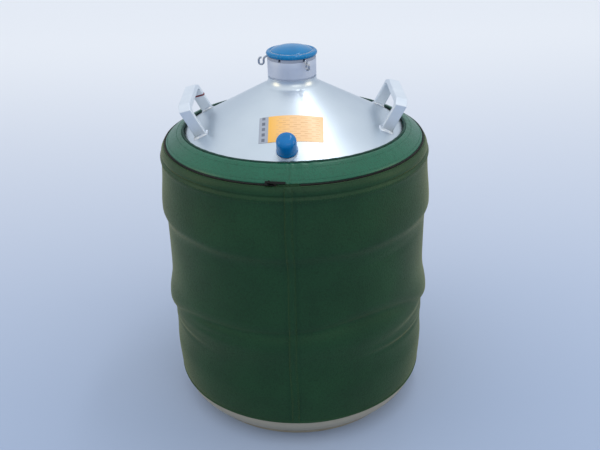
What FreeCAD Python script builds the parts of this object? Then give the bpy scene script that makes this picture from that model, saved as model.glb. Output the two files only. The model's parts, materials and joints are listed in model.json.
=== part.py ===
import FreeCAD, Part
import os
from math import asin, cos, radians, sin, tan

Vector = FreeCAD.Vector

# Liquid nitrogen dewar, millimetres, +Z up.
# The origin is the centre of the foot ring's underside. The front, with the vacuum port, faces -Y.

# outer shell
shell_radius = 230.5          # outside of the aluminium body
shell_wall = 2.5
shell_bottom = 8.0            # underside of the base head
base_knuckle = 45.0           # outside radius where base and body meet
body_foot = 60.0              # girth weld between base head and body
rib_heights = (214.0, 387.0)  # middles of the two rolled ribs
rib_rise = 5.5
rib_half_width = 16.0
shoulder_slope = 28.5         # degrees from horizontal
shoulder_knuckle = 20.0
cone_apex = 624.0             # where the shoulder cone would meet the axis

# foot ring
foot_radius = 199.0
foot_wall = 7.0

# neck, from outside in
collar_radius = 41.5
collar_wall = 2.5
collar_fillet = 12.0          # hollow sweep between shoulder and collar
collar_foot = cone_apex - 12.0
collar_top = cone_apex + 18.8
top_ring_height = 6.8
bore_radius = 25.0            # the 50 mm neck
neck_tube_wall = 1.5
lower_ring_width = 2.5        # ring between the neck tube and the vessel's neck
index_step = 0.3              # the index ring is smaller than the collar by this
notch_count = 6
notch_floor = 1.0             # left under each notch
notch_heel = 3.0              # length next to the bore where a notch is cut right through
notch_clearance = 0.8         # a notch is wider than a rod by this

# inner vessel
vessel_radius = 168.0
vessel_wall = 2.0
vessel_bottom = 75.0
vessel_base_knuckle = 45.0
vessel_seam = 270.0
vessel_knuckle_height = 405.0
vessel_slope = 25.0
vessel_knuckle = 30.0
vessel_neck_fillet = 8.0
vessel_neck_rise = 10.0

# vacuum space
wrap_gap = 0.6
wrap_thickness = 18.0
adsorbent_radii = (20.0, 62.0)
adsorbent_height = 8.0
getter_radius = 8.0
getter_height = 14.0
getter_place = 100.0
pocket_gap = 1.0              # between the adsorbent and the wrap round it

# canisters
canister_azimuths = (180.0, -60.0, 60.0)
rod_radius = 1.75
rod_wall_gap = 0.35           # between rod and neck bore
rod_rest_gap = 0.1            # between rod and notch floor
rod_headroom = 0.2            # between the rods and the lid that sits on the index ring
rod_neck_bend = 3.0           # bend out of the bore into the notch
rod_bend = 6.0                # bend over the collar's edge
pail_radius = 19.0
pail_wall = 1.0
pail_height = 120.0
pail_lap = 60.0               # length of rod welded to the pail
weld_depth = 0.25
pail_floor_gap = 2.0
eye_bend = 4.2
eye_drop = 3.4
eye_turn = 105.0              # degrees that the rod's end curls back over the eye
locator_radius = 66.0
locator_wall = 1.5
locator_fin_height = 30.0
locator_fin_margin = 2.0      # the fins stop this far inside the disc
locator_post = 6.0

# lid and plug
lid_radius = 43.5
lid_rim = 4.0                 # rounding of the rim
lid_height = 16.0
lid_cavity_radius = 36.0
lid_cavity_depth = 7.8
plug_clearance = 0.65         # between the plug and the rods beside it
plug_length = 110.0
bond_gap = 0.2

# vacuum port, on the front of the shoulder
port_azimuth = -94.0
port_place = 162.0
port_radius = 14.0
port_bore = 11.0
port_height = 17.0
port_depth = 8.0
port_flange_radius = 18.0
port_flange_height = 3.0
vacuum_plug_clearance = 0.4
vacuum_plug_height = 14.0
seal_height = 2.6
seal_depth = 2.4
cap_gap = 0.4
cap_wall = 2.3
cap_height = 21.5
cap_dome = 8.0
cap_taper = 0.6
cap_headroom = 1.0            # space over the port tube inside the cap

# handles
handle_place = 150.0          # inner edge of each foot, from the axis
handle_half_span = 72.0
handle_leg = 41.0
handle_height = 48.0
handle_corner = 19.5
handle_thickness = 10.0
handle_width = 20.0
handle_lean = 28.0            # degrees that the legs lean outwards
handle_pitch = 14.0           # degrees that the bar's width drops outwards
handle_root = 25.0            # leg length trimmed away by the shoulder
weld_leg = 3.5
band_height = 21.0
band_width = 2.5
band_thickness = 0.6

# jacket
jacket_gap = 1.0
jacket_thickness = 4.5
jacket_foot = 52.0
jacket_rib_half_width = 38.0
top_panel_thickness = 6.0     # at the zipper; the padding swells towards the hem
hem_radius = 192.5            # place of the hem on the shoulder
hem_height = 15.0             # top of the hem above the metal
hem_bead = 3.2
binding_radius = 2.6
binding_lap = 0.5
zipper_angle = 50.0           # place of the zipper round the shoulder knuckle, degrees
zipper_half_angle = 8.0
zipper_gap_angle = 9.0        # opening of the zipper at the front seam
tape_thickness = 2.0
coil_half_angle = 2.6
coil_thickness = 1.6
slider_azimuth = -100.0
slider_half_length = 1.7      # degrees round the axis
slider_half_angle = 7.0
slider_clearance = 0.35
slider_thickness = 3.0
pull_pin_radius = 0.9
pull_pin_height = 2.6
pull_clearance = 0.3
pull_eye_radius = 2.3
pull_width = 4.0
pull_length = 26.0
pull_thickness = 1.4
bridge_half = 3.4
bridge_wall = 1.2
seam_azimuth = -92.7
seam_half_angle = 1.7
seam_thickness = 1.2
seam_lift = 2.0               # the seam strip starts this far above the jacket's foot

# front label
label_azimuth = -92.0
label_place = 120.0
label_width = 104.0
label_height = 56.0
label_thickness = 0.35

# derived sizes
cone_tan = tan(radians(shoulder_slope))
knuckle_centre = (
    shell_radius - shoulder_knuckle,
    cone_apex - shell_radius * cone_tan - shoulder_knuckle * tan(radians((90 - shoulder_slope) / 2)),
)
vessel_knuckle_centre = (vessel_radius - vessel_knuckle, vessel_knuckle_height)
vessel_apex = (
    vessel_knuckle_height
    + vessel_knuckle * tan(radians((90 - vessel_slope) / 2))
    + vessel_radius * tan(radians(vessel_slope))
)
index_height = notch_floor + rod_rest_gap + 2 * rod_radius + rod_headroom
index_top = collar_top + index_height
neck_tube_radius = bore_radius + neck_tube_wall
vessel_neck_bore = neck_tube_radius + lower_ring_width
vessel_neck_radius = vessel_neck_bore + vessel_wall
rod_place = bore_radius - rod_wall_gap - rod_radius
rod_height = collar_top + notch_floor + rod_radius + rod_rest_gap
plug_radius = rod_place - rod_radius - plug_clearance
pail_place = rod_place + rod_radius + pail_radius - weld_depth
pail_foot = vessel_bottom + vessel_wall + locator_wall + pail_floor_gap
jacket_offset = jacket_gap + jacket_thickness
slider_offset = jacket_offset + coil_thickness + slider_clearance


def pt(r, z):
    """A point of a profile, in the XZ plane."""
    return Vector(r, 0, z)


def arc(centre, radius, start, end):
    """Three points of an arc in a profile, angles in degrees from +X."""
    angles = (start, (start + end) / 2, end)
    return [pt(centre[0] + radius * cos(radians(a)), centre[1] + radius * sin(radians(a))) for a in angles]


def back(path):
    """The same path walked the other way."""
    return [piece[::-1] for piece in path[::-1]]


def face_of(path):
    """A closed face from points and arcs, with straight lines between them."""
    edges = []
    last = path[-1][-1]
    for piece in path:
        if not last.isEqual(piece[0], 1e-6):
            edges.append(Part.LineSegment(last, piece[0]).toShape())
        if len(piece) == 3:
            edges.append(Part.Arc(*piece).toShape())
        last = piece[-1]
    return Part.Face(Part.Wire(edges))


def spin(face, start=0.0, sweep=360.0):
    """Turn a profile about the Z axis, from one azimuth through a sweep."""
    solid = face.revolve(Vector(0, 0, 0), Vector(0, 0, 1), sweep)
    return turned(solid, start)


def turned(shape, azimuth):
    """A copy turned about the Z axis."""
    copy = shape.copy()
    copy.rotate(Vector(0, 0, 0), Vector(0, 0, 1), azimuth)
    return copy


def ring(inner, outer, low, high):
    """A plain ring about the Z axis."""
    return spin(face_of([[pt(inner, low)], [pt(outer, low)], [pt(outer, high)], [pt(inner, high)]]))


def crown(edge, top):
    """Three points of a shallow dome centred on the axis, from its edge up to its top."""
    rise = top - edge.z
    sphere = (edge.x ** 2 + rise ** 2) / (2 * rise)
    angle = asin(edge.x / sphere) / 2
    return [edge, pt(sphere * sin(angle), top - sphere + sphere * cos(angle)), pt(0, top)]


def shoulder_path(apex, slope, centre, knuckle, neck, fillet, top, offset):
    """Knuckle, cone and hollow neck sweep of a shoulder, moved out by an offset."""
    fillet_centre = (
        neck + fillet,
        apex - (neck + fillet) * tan(radians(slope)) + fillet / cos(radians(slope)),
    )
    return [
        arc(centre, knuckle + offset, 0, 90 - slope),
        arc(fillet_centre, fillet - offset, 270 - slope, 180),
        [pt(neck + offset, top)],
    ]


def outer_shoulder(offset):
    return shoulder_path(cone_apex, shoulder_slope, knuckle_centre, shoulder_knuckle,
                         collar_radius, collar_fillet, collar_foot, offset)


def vessel_shoulder(offset):
    neck_top = (vessel_apex - vessel_neck_radius * tan(radians(vessel_slope))
                + vessel_neck_rise)
    return shoulder_path(vessel_apex, vessel_slope, vessel_knuckle_centre, vessel_knuckle,
                         vessel_neck_radius, vessel_neck_fillet, neck_top, offset)


def head_path(radius, bottom, knuckle, offset):
    """A flat-bottomed head from the axis out to the body."""
    centre = (radius - knuckle, bottom + knuckle)
    return [[pt(0, bottom - offset)], arc(centre, knuckle + offset, -90, 0)]


def ribbed_path(offset, low, high, half_width):
    """The body's side, with a rolled rib at each rib height."""
    radius = shell_radius + offset
    path = [[pt(radius, low)]]
    for height in rib_heights:
        path.append([pt(radius, height - half_width),
                     pt(radius + rib_rise, height),
                     pt(radius, height + half_width)])
    path.append([pt(radius, high)])
    return path


def shoulder_block():
    """Everything under the outside of the shoulder, for trimming what is welded on."""
    path = outer_shoulder(0)
    return spin(face_of(path + [[pt(0, collar_foot)], [pt(0, knuckle_centre[1])]]))


def cone_frame(azimuth, place):
    """A placement on the shoulder: Z along the outward normal, X down the slope."""
    slope = radians(shoulder_slope)
    normal = Vector(sin(slope), 0, cos(slope))
    down = Vector(cos(slope), 0, -sin(slope))
    turn = FreeCAD.Rotation(down, Vector(0, 1, 0), normal, "ZXY")
    here = FreeCAD.Placement(Vector(place, 0, cone_apex - place * cone_tan), turn)
    return FreeCAD.Placement(Vector(0, 0, 0), FreeCAD.Rotation(Vector(0, 0, 1), azimuth)) * here


def placed(shape, placement):
    copy = shape.copy()
    copy.Placement = placement
    return copy


# ---- outer shell ----

def outer_shell_body():
    top = knuckle_centre[1]
    outside = ribbed_path(0, body_foot, top, rib_half_width)
    inside = ribbed_path(-shell_wall, body_foot, top, rib_half_width)
    return spin(face_of(outside + back(inside)))


def outer_shell_shoulder():
    shell = spin(face_of(outer_shoulder(0) + back(outer_shoulder(-shell_wall))))
    hole = Part.makeCylinder(port_radius, port_depth + port_height, Vector(0, 0, -port_depth))
    return shell.cut(placed(hole, cone_frame(port_azimuth, port_place)))


def outer_shell_base():
    outside = head_path(shell_radius, shell_bottom, base_knuckle, 0) + [[pt(shell_radius, body_foot)]]
    inside = (head_path(shell_radius, shell_bottom, base_knuckle, -shell_wall)
              + [[pt(shell_radius - shell_wall, body_foot)]])
    return spin(face_of(outside + back(inside)))


def foot_ring():
    blank = ring(foot_radius - foot_wall, foot_radius, 0, shell_bottom + base_knuckle / 2)
    outside = head_path(shell_radius, shell_bottom, base_knuckle, 0)
    head = spin(face_of(outside + [[pt(shell_radius, body_foot)], [pt(0, body_foot)]]))
    return blank.cut(head)


# ---- neck ----

def neck_collar():
    return ring(collar_radius - collar_wall, collar_radius, collar_foot, collar_top)


def collar_top_ring():
    return ring(neck_tube_radius, collar_radius - collar_wall, collar_top - top_ring_height, collar_top)


def neck_index_ring():
    disc = ring(bore_radius, collar_radius - index_step, collar_top, index_top)
    notch_width = 2 * rod_radius + notch_clearance
    notch = Part.makeBox(collar_radius, notch_width, index_height,
                         Vector(bore_radius / 2, -notch_width / 2, collar_top + notch_floor))
    heel = Part.makeBox(bore_radius / 2 + notch_heel, notch_width, index_height,
                        Vector(bore_radius / 2, -notch_width / 2, collar_top))
    notch = notch.fuse(heel)
    notches = [turned(notch, k * 360 / notch_count) for k in range(notch_count)]
    return disc.cut(notches)


def vessel_neck_top():
    return vessel_shoulder(0)[-1][0].z


def neck_tube():
    return ring(bore_radius, neck_tube_radius, vessel_neck_top() - 2 * vessel_neck_rise, collar_top)


def neck_lower_ring():
    return ring(neck_tube_radius, vessel_neck_bore, vessel_neck_top() - vessel_neck_rise, vessel_neck_top())


# ---- inner vessel and vacuum space ----

def inner_vessel_upper():
    wall = vessel_radius - vessel_wall
    outside = [[pt(vessel_radius, vessel_seam)]] + vessel_shoulder(0)
    inside = [[pt(wall, vessel_seam)]] + vessel_shoulder(-vessel_wall)
    return spin(face_of(outside + back(inside)))


def inner_vessel_lower():
    wall = vessel_radius - vessel_wall
    outside = head_path(vessel_radius, vessel_bottom, vessel_base_knuckle, 0)
    inside = head_path(vessel_radius, vessel_bottom, vessel_base_knuckle, -vessel_wall)
    return spin(face_of(outside + [[pt(vessel_radius, vessel_seam)], [pt(wall, vessel_seam)]] + back(inside)))


def canister_locator():
    floor = vessel_bottom + vessel_wall
    disc = Part.makeCylinder(locator_radius, locator_wall, Vector(0, 0, floor))
    post = Part.makeCylinder(locator_post, locator_fin_height, Vector(0, 0, floor))
    fin = Part.makeBox(locator_radius - locator_fin_margin, locator_wall, locator_fin_height,
                       Vector(0, -locator_wall / 2, floor))
    half_way = 180 / len(canister_azimuths)
    fins = [turned(fin, azimuth + half_way) for azimuth in canister_azimuths]
    return disc.fuse([post] + fins).removeSplitter()


def adsorbent_pack():
    inner, outer = adsorbent_radii
    return ring(inner, outer, vessel_bottom - adsorbent_height, vessel_bottom)


def hydrogen_getter():
    floor = shell_bottom + shell_wall
    return Part.makeCylinder(getter_radius, getter_height, Vector(getter_place, 0, floor))


def vessel_wrap_side(offset):
    """The upper half of the wrap: round the knuckle, up the cone and in to the neck."""
    slope = radians(vessel_slope)
    neck = vessel_neck_radius + vessel_neck_fillet
    height = vessel_apex - neck * tan(slope) + offset / cos(slope)
    return [arc(vessel_knuckle_centre, vessel_knuckle + offset, 0, 90 - vessel_slope), [pt(neck, height)]]


def superinsulation_wrap():
    outside = (head_path(vessel_radius, vessel_bottom, vessel_base_knuckle, wrap_thickness)
               + vessel_wrap_side(wrap_thickness))
    inside = (head_path(vessel_radius, vessel_bottom, vessel_base_knuckle, wrap_gap)
              + vessel_wrap_side(wrap_gap))
    inner, outer = adsorbent_radii
    pocket = ring(inner - pocket_gap, outer + pocket_gap,
                  vessel_bottom - adsorbent_height - pocket_gap, vessel_bottom)
    return spin(face_of(outside + back(inside))).cut(pocket)


# ---- vacuum port ----

def vacuum_port_tube():
    tube = ring(port_bore, port_radius, -port_depth, port_height)
    flange = ring(port_radius, port_flange_radius, -port_depth, port_flange_height)
    frame = cone_frame(port_azimuth, port_place)
    flange = placed(flange, frame).cut(shoulder_block())
    return placed(tube, frame).fuse(flange).removeSplitter()


def vacuum_plug():
    radius = port_bore - vacuum_plug_clearance
    groove = port_bore - seal_depth
    low = (vacuum_plug_height - seal_height) / 2
    path = [[pt(0, 0)], [pt(radius, 0)], [pt(radius, low)], [pt(groove, low)],
            [pt(groove, low + seal_height)], [pt(radius, low + seal_height)],
            [pt(radius, vacuum_plug_height)], [pt(0, vacuum_plug_height)]]
    return placed(spin(face_of(path)), cone_frame(port_azimuth, port_place))


def vacuum_plug_seal():
    low = (vacuum_plug_height - seal_height) / 2
    seal = ring(port_bore - seal_depth, port_bore, low, low + seal_height)
    return placed(seal, cone_frame(port_azimuth, port_place))


def vacuum_port_cap():
    inner = port_radius + cap_gap
    outer = inner + cap_wall
    foot = port_flange_height + cap_gap
    shoulder = foot + cap_height
    top = shoulder + cap_dome
    ceiling = port_height + cap_headroom
    path = [[pt(inner, foot)], [pt(outer, foot)], crown(pt(outer - cap_taper, shoulder), top),
            [pt(0, ceiling)], [pt(inner, ceiling)]]
    return placed(spin(face_of(path)), cone_frame(port_azimuth, port_place))


# ---- handles ----

def handle_axes():
    lean = radians(handle_lean)
    pitch = radians(handle_pitch)
    up = Vector(sin(lean), 0, cos(lean))
    across = Vector(cos(pitch), 0, -sin(pitch))
    return up, across


def handle_point(y, height, across=0.0):
    """A point of the right handle from its foot's inner edge."""
    up, width = handle_axes()
    base = Vector(handle_place, 0, cone_apex - handle_place * cone_tan)
    return base + up * height + width * across + Vector(0, y, 0)


def handle_prism(points, start, width):
    """A closed outline in the handle's plane, swept along the bar's width."""
    corners = [handle_point(y, height, start) for y, height in points]
    face = Part.Face(Part.makePolygon(corners + corners[:1]))
    return face.extrude(handle_axes()[1] * width)


def handle_blank():
    outer = handle_half_span
    inner = outer - handle_thickness
    corner = outer - handle_corner
    under = handle_height - handle_thickness
    drop = (handle_height - handle_leg) * (inner - corner) / handle_corner
    points = [(-outer, -handle_root), (-outer, handle_leg), (-corner, handle_height),
              (corner, handle_height), (outer, handle_leg), (outer, -handle_root),
              (inner, -handle_root), (inner, under - drop), (corner, under),
              (-corner, under), (-inner, under - drop), (-inner, -handle_root)]
    return handle_prism(points, 0, handle_width)


def handle_right():
    return handle_blank().cut(shoulder_block())


def handle_left():
    return mirrored(handle_right())


def mirrored(shape):
    return shape.mirror(Vector(0, 0, 0), Vector(1, 0, 0))


def leg_sleeve(side, low, high, grow):
    """A block round one leg, side -1 at the front and 1 at the rear."""
    inner = handle_half_span - handle_thickness - grow
    outer = handle_half_span + grow
    near, far = sorted((side * inner, side * outer))
    points = [(near, low), (far, low), (far, high), (near, high)]
    return handle_prism(points, -grow, handle_width + 2 * grow)


def handle_weld_beads():
    solids = []
    for side in (-1, 1):
        bead = leg_sleeve(side, -handle_root, weld_leg, weld_leg)
        bead = bead.cut([shoulder_block(), handle_blank()])
        solids += [bead, mirrored(bead)]
    return Part.makeCompound([solid for bead in solids for solid in bead.Solids])


def handle_marker_band():
    """A coloured thread tied round the rear leg of the left handle."""
    sleeve = leg_sleeve(1, band_height, band_height + band_width, band_thickness)
    return mirrored(sleeve.cut(handle_blank()))


# ---- lid ----

def lid():
    low = index_top
    rim = (lid_radius - lid_rim, low + lid_rim)
    top = low + lid_height
    shoulder = arc(rim, lid_rim, -90, 60)
    path = [[pt(lid_cavity_radius, low)], shoulder, crown(shoulder[-1], top),
            [pt(0, low + lid_cavity_depth)], [pt(lid_cavity_radius, low + lid_cavity_depth)]]
    return spin(face_of(path))


def neck_plug():
    head_low = index_top + bond_gap
    path = [[pt(0, index_top - plug_length)], [pt(plug_radius, index_top - plug_length)],
            [pt(plug_radius, head_low)], [pt(lid_cavity_radius - bond_gap, head_low)],
            [pt(lid_cavity_radius - bond_gap, index_top + lid_cavity_depth)],
            [pt(0, index_top + lid_cavity_depth)]]
    return spin(face_of(path))


# ---- canisters ----

def canister_pail(azimuth):
    outside = Part.makeCylinder(pail_radius, pail_height, Vector(pail_place, 0, pail_foot))
    inside = Part.makeCylinder(pail_radius - pail_wall, pail_height,
                               Vector(pail_place, 0, pail_foot + pail_wall))
    return turned(outside.cut(inside), azimuth)


def canister_rod(azimuth):
    """A rod from the pail up the neck, out through a notch and round into an eye."""
    foot = pail_foot + pail_height - pail_lap
    top_bend = (rod_place + rod_neck_bend, rod_height - rod_neck_bend)
    over_bend = (collar_radius, rod_height - rod_bend)
    outer = collar_radius + rod_bend
    eye_low = (outer + eye_bend, rod_height - rod_bend - eye_drop)
    eye_high = (outer + eye_bend, rod_height - rod_bend)
    path = [
        [pt(rod_place, foot)],
        arc(top_bend, rod_neck_bend, 180, 90),
        arc(over_bend, rod_bend, 90, 0),
        arc(eye_low, eye_bend, 180, 360),
        arc(eye_high, eye_bend, 0, eye_turn),
    ]
    edges = []
    last = path[0][0]
    for piece in path[1:]:
        edges.append(Part.LineSegment(last, piece[0]).toShape())
        edges.append(Part.Arc(*piece).toShape())
        last = piece[-1]
    section = Part.Wire([Part.makeCircle(rod_radius, pt(rod_place, foot), Vector(0, 0, 1))])
    return turned(Part.Wire(edges).makePipeShell([section], True, False), azimuth)


# ---- jacket ----

def knuckle_band(low, high, inner, outer):
    """Profile of a band round the shoulder knuckle, between two angles and two offsets."""
    outside = arc(knuckle_centre, shoulder_knuckle + outer, low, high)
    inside = arc(knuckle_centre, shoulder_knuckle + inner, high, low)
    return face_of([outside, inside])


def cone_point(radius, offset):
    """A point over the shoulder cone at a radius on the cone, moved out along the normal."""
    slope = radians(shoulder_slope)
    return pt(radius + offset * sin(slope), cone_apex - radius * cone_tan + offset * cos(slope))


def jacket_side_panel():
    top = zipper_angle - zipper_half_angle
    edge = arc(knuckle_centre, shoulder_knuckle + jacket_offset, 0, top)
    inner_edge = arc(knuckle_centre, shoulder_knuckle + jacket_gap, 0, top)
    outside = ribbed_path(jacket_offset, jacket_foot, knuckle_centre[1], jacket_rib_half_width)
    inside = ribbed_path(jacket_gap, jacket_foot, knuckle_centre[1], jacket_rib_half_width)
    return spin(face_of(outside + [edge] + back(inside + [inner_edge])))


def jacket_top_panel():
    """A padded ring that swells from the zipper up to the hem."""
    low = zipper_angle + zipper_half_angle
    high = 90 - shoulder_slope
    outer = jacket_gap + top_panel_thickness
    outside = [arc(knuckle_centre, shoulder_knuckle + outer, low, high), [cone_point(hem_radius, hem_height)]]
    inside = [arc(knuckle_centre, shoulder_knuckle + jacket_gap, low, high), [cone_point(hem_radius, jacket_gap)]]
    return spin(face_of(outside + back(inside)))


def bead(point, radius):
    return Part.makeTorus(point.x, radius, Vector(0, 0, point.z))


def jacket_hem_piping():
    middle = cone_point(hem_radius - hem_bead + binding_lap, hem_height - hem_bead)
    return bead(middle, hem_bead)


def jacket_bottom_binding():
    radius = shell_radius + jacket_gap + binding_radius
    return bead(pt(radius, jacket_foot - binding_radius + binding_lap), binding_radius)


def jacket_front_seam():
    low = jacket_foot + seam_lift
    high = knuckle_centre[1]
    outside = ribbed_path(jacket_offset + seam_thickness, low, high, jacket_rib_half_width)
    inside = ribbed_path(jacket_offset, low, high, jacket_rib_half_width)
    return spin(face_of(outside + back(inside)), seam_azimuth - seam_half_angle, 2 * seam_half_angle)


def zipper_tape():
    low = zipper_angle - zipper_half_angle
    high = zipper_angle + zipper_half_angle
    face = knuckle_band(low, high, jacket_offset - tape_thickness, jacket_offset)
    return spin(face, seam_azimuth + zipper_gap_angle / 2, 360 - zipper_gap_angle)


def zipper_coil():
    face = knuckle_band(zipper_angle - coil_half_angle, zipper_angle + coil_half_angle,
                        jacket_offset, jacket_offset + coil_thickness)
    return spin(face, seam_azimuth + zipper_gap_angle / 2, 360 - zipper_gap_angle)


def slider_frame():
    """On top of the slider: Z outwards, X up over the shoulder, Y along the zipper."""
    angle = radians(zipper_angle)
    reach = shoulder_knuckle + slider_offset + slider_thickness
    here = Vector(knuckle_centre[0] + reach * cos(angle), 0, knuckle_centre[1] + reach * sin(angle))
    outwards = Vector(cos(angle), 0, sin(angle))
    over = Vector(-sin(angle), 0, cos(angle))
    turn = FreeCAD.Rotation(over, outwards.cross(over), outwards, "ZXY")
    return (FreeCAD.Placement(Vector(0, 0, 0), FreeCAD.Rotation(Vector(0, 0, 1), slider_azimuth))
            * FreeCAD.Placement(here, turn))


def zipper_slider():
    face = knuckle_band(zipper_angle - slider_half_angle, zipper_angle + slider_half_angle,
                        slider_offset, slider_offset + slider_thickness)
    body = spin(face, slider_azimuth - slider_half_length, 2 * slider_half_length)
    post = Part.makeBox(bridge_wall, 2 * pull_pin_radius, pull_pin_height + 2 * pull_pin_radius,
                        Vector(bridge_half - bridge_wall, -pull_pin_radius, -pull_pin_radius))
    other = post.mirror(Vector(0, 0, 0), Vector(1, 0, 0))
    pin = Part.makeCylinder(pull_pin_radius, 2 * (bridge_half - bridge_wall / 2),
                            Vector(-bridge_half + bridge_wall / 2, 0, pull_pin_height), Vector(1, 0, 0))
    bridge = placed(post.fuse([other, pin]), slider_frame())
    return body.fuse(bridge).removeSplitter()


def zipper_pull():
    start = Vector(-pull_width / 2, 0, pull_pin_height)
    eye = Part.makeCylinder(pull_eye_radius, pull_width, start, Vector(1, 0, 0))
    plate = Part.makeBox(pull_width, pull_length, pull_thickness,
                         Vector(-pull_width / 2, -pull_length, pull_pin_height - pull_thickness / 2))
    hole = Part.makeCylinder(pull_pin_radius + pull_clearance, 2 * pull_width,
                             start - Vector(pull_width / 2, 0, 0), Vector(1, 0, 0))
    return placed(eye.fuse(plate).cut(hole).removeSplitter(), slider_frame())


# ---- label ----

def front_label():
    """A thin film that follows the shoulder's curve."""
    outside = outer_shoulder(label_thickness)
    film = spin(face_of(outside + back(outer_shoulder(0))))
    block = Part.makeBox(label_height, label_width, label_width,
                         Vector(-label_height / 2, -label_width / 2, -label_width / 2))
    return film.common(placed(block, cone_frame(label_azimuth, label_place)))


def nodes():
    made = {
        "outer_shell_body": outer_shell_body(),
        "outer_shell_shoulder": outer_shell_shoulder(),
        "outer_shell_base": outer_shell_base(),
        "foot_ring": foot_ring(),
        "neck_collar": neck_collar(),
        "collar_top_ring": collar_top_ring(),
        "neck_index_ring": neck_index_ring(),
        "neck_tube": neck_tube(),
        "neck_lower_ring": neck_lower_ring(),
        "inner_vessel_upper": inner_vessel_upper(),
        "inner_vessel_lower": inner_vessel_lower(),
        "canister_locator": canister_locator(),
        "superinsulation_wrap": superinsulation_wrap(),
        "adsorbent_pack": adsorbent_pack(),
        "hydrogen_getter": hydrogen_getter(),
        "vacuum_port_tube": vacuum_port_tube(),
        "vacuum_plug": vacuum_plug(),
        "vacuum_plug_seal": vacuum_plug_seal(),
        "vacuum_port_cap": vacuum_port_cap(),
        "handle_left": handle_left(),
        "handle_right": handle_right(),
        "handle_weld_beads": handle_weld_beads(),
        "handle_marker_band": handle_marker_band(),
        "lid": lid(),
        "neck_plug": neck_plug(),
        "jacket_side_panel": jacket_side_panel(),
        "jacket_top_panel": jacket_top_panel(),
        "jacket_hem_piping": jacket_hem_piping(),
        "jacket_bottom_binding": jacket_bottom_binding(),
        "jacket_front_seam": jacket_front_seam(),
        "zipper_tape": zipper_tape(),
        "zipper_coil": zipper_coil(),
        "zipper_slider": zipper_slider(),
        "zipper_pull": zipper_pull(),
        "front_label": front_label(),
    }
    for number, azimuth in enumerate(canister_azimuths, 1):
        made[f"canister_pail_{number}"] = canister_pail(azimuth)
        made[f"canister_rod_{number}"] = canister_rod(azimuth)
    return made


os.makedirs("parts", exist_ok=True)
for name, shape in nodes().items():
    shape.exportStep(f"parts/{name}.step")
    solids = len(shape.Solids)
    print(f"{name}: {solids} solid(s), {shape.Volume / 1000:.1f} cm3, valid {shape.isValid()}")
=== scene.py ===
import json
import math

import bmesh
import bpy
import numpy as np
from mathutils import Matrix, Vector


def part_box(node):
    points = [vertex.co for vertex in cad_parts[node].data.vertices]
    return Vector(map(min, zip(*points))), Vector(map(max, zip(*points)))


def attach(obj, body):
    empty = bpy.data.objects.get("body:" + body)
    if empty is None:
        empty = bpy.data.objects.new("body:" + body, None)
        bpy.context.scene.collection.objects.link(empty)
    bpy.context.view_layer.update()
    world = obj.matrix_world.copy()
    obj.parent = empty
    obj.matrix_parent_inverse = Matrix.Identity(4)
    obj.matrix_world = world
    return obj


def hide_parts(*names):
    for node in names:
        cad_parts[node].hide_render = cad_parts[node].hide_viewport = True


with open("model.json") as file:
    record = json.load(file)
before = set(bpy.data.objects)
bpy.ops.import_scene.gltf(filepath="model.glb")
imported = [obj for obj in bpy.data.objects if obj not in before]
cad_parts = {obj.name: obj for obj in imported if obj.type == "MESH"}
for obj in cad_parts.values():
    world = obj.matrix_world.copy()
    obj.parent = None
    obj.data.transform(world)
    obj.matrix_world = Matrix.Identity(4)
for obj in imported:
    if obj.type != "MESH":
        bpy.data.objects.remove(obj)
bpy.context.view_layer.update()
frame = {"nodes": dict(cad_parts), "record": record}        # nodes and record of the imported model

nodes = frame["nodes"]
slotOfNode = {part["node"]: part["material_slot"] for part in frame["record"]["subparts"]}
print("frame loaded with", len(nodes), "nodes")


# small helpers: colour, shader nodes and meshes

def linear(colour):
    # sRGB hex to linear light, each channel ((c + 0.055) / 1.055) to the power 2.4
    channels = np.array([int(colour[i:i + 2], 16) / 255 for i in (1, 3, 5)])
    light = np.where(channels <= 0.04045, channels / 12.92, ((channels + 0.055) / 1.055) ** 2.4)
    return (*light.tolist(), 1.0)


def addNode(tree, kind, inputs=None, **settings):
    node = tree.nodes.new(kind)
    for key, value in settings.items():
        setattr(node, key, value)
    for key, value in (inputs or {}).items():
        if isinstance(value, bpy.types.NodeSocket):
            tree.links.new(value, node.inputs[key])
        else:
            node.inputs[key].default_value = value
    return node


def startMaterial(name, fixed):
    material = bpy.data.materials.new(name)
    material.use_nodes = True
    tree = material.node_tree
    shader = tree.nodes["Principled BSDF"]
    for key, value in fixed.items():
        shader.inputs[key].default_value = value
    place = addNode(tree, "ShaderNodeTexCoord")
    return material, tree, shader, place


def spread(tree, source, low, high):
    # a 0 to 1 pattern carried to the range low to high
    return addNode(tree, "ShaderNodeMapRange", {"Value": source, "To Min": low, "To Max": high}).outputs[0]


def mixColours(tree, share, first, second):
    mix = addNode(tree, "ShaderNodeMix", data_type="RGBA")
    for key, value in ((0, share), (6, first), (7, second)):
        if isinstance(value, bpy.types.NodeSocket):
            tree.links.new(value, mix.inputs[key])
        else:
            mix.inputs[key].default_value = value
    return mix.outputs[2]


def gridFaces(rows, columns, wrapRows, wrapColumns):
    # four corners of every cell of a rows by columns grid of points
    i, j = np.meshgrid(np.arange(rows if wrapRows else rows - 1),
                       np.arange(columns if wrapColumns else columns - 1), indexing="ij")
    i, j = i.ravel(), j.ravel()
    nextI, nextJ = (i + 1) % rows, (j + 1) % columns
    return np.stack([i * columns + j, i * columns + nextJ, nextI * columns + nextJ, nextI * columns + j], 1)


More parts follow.
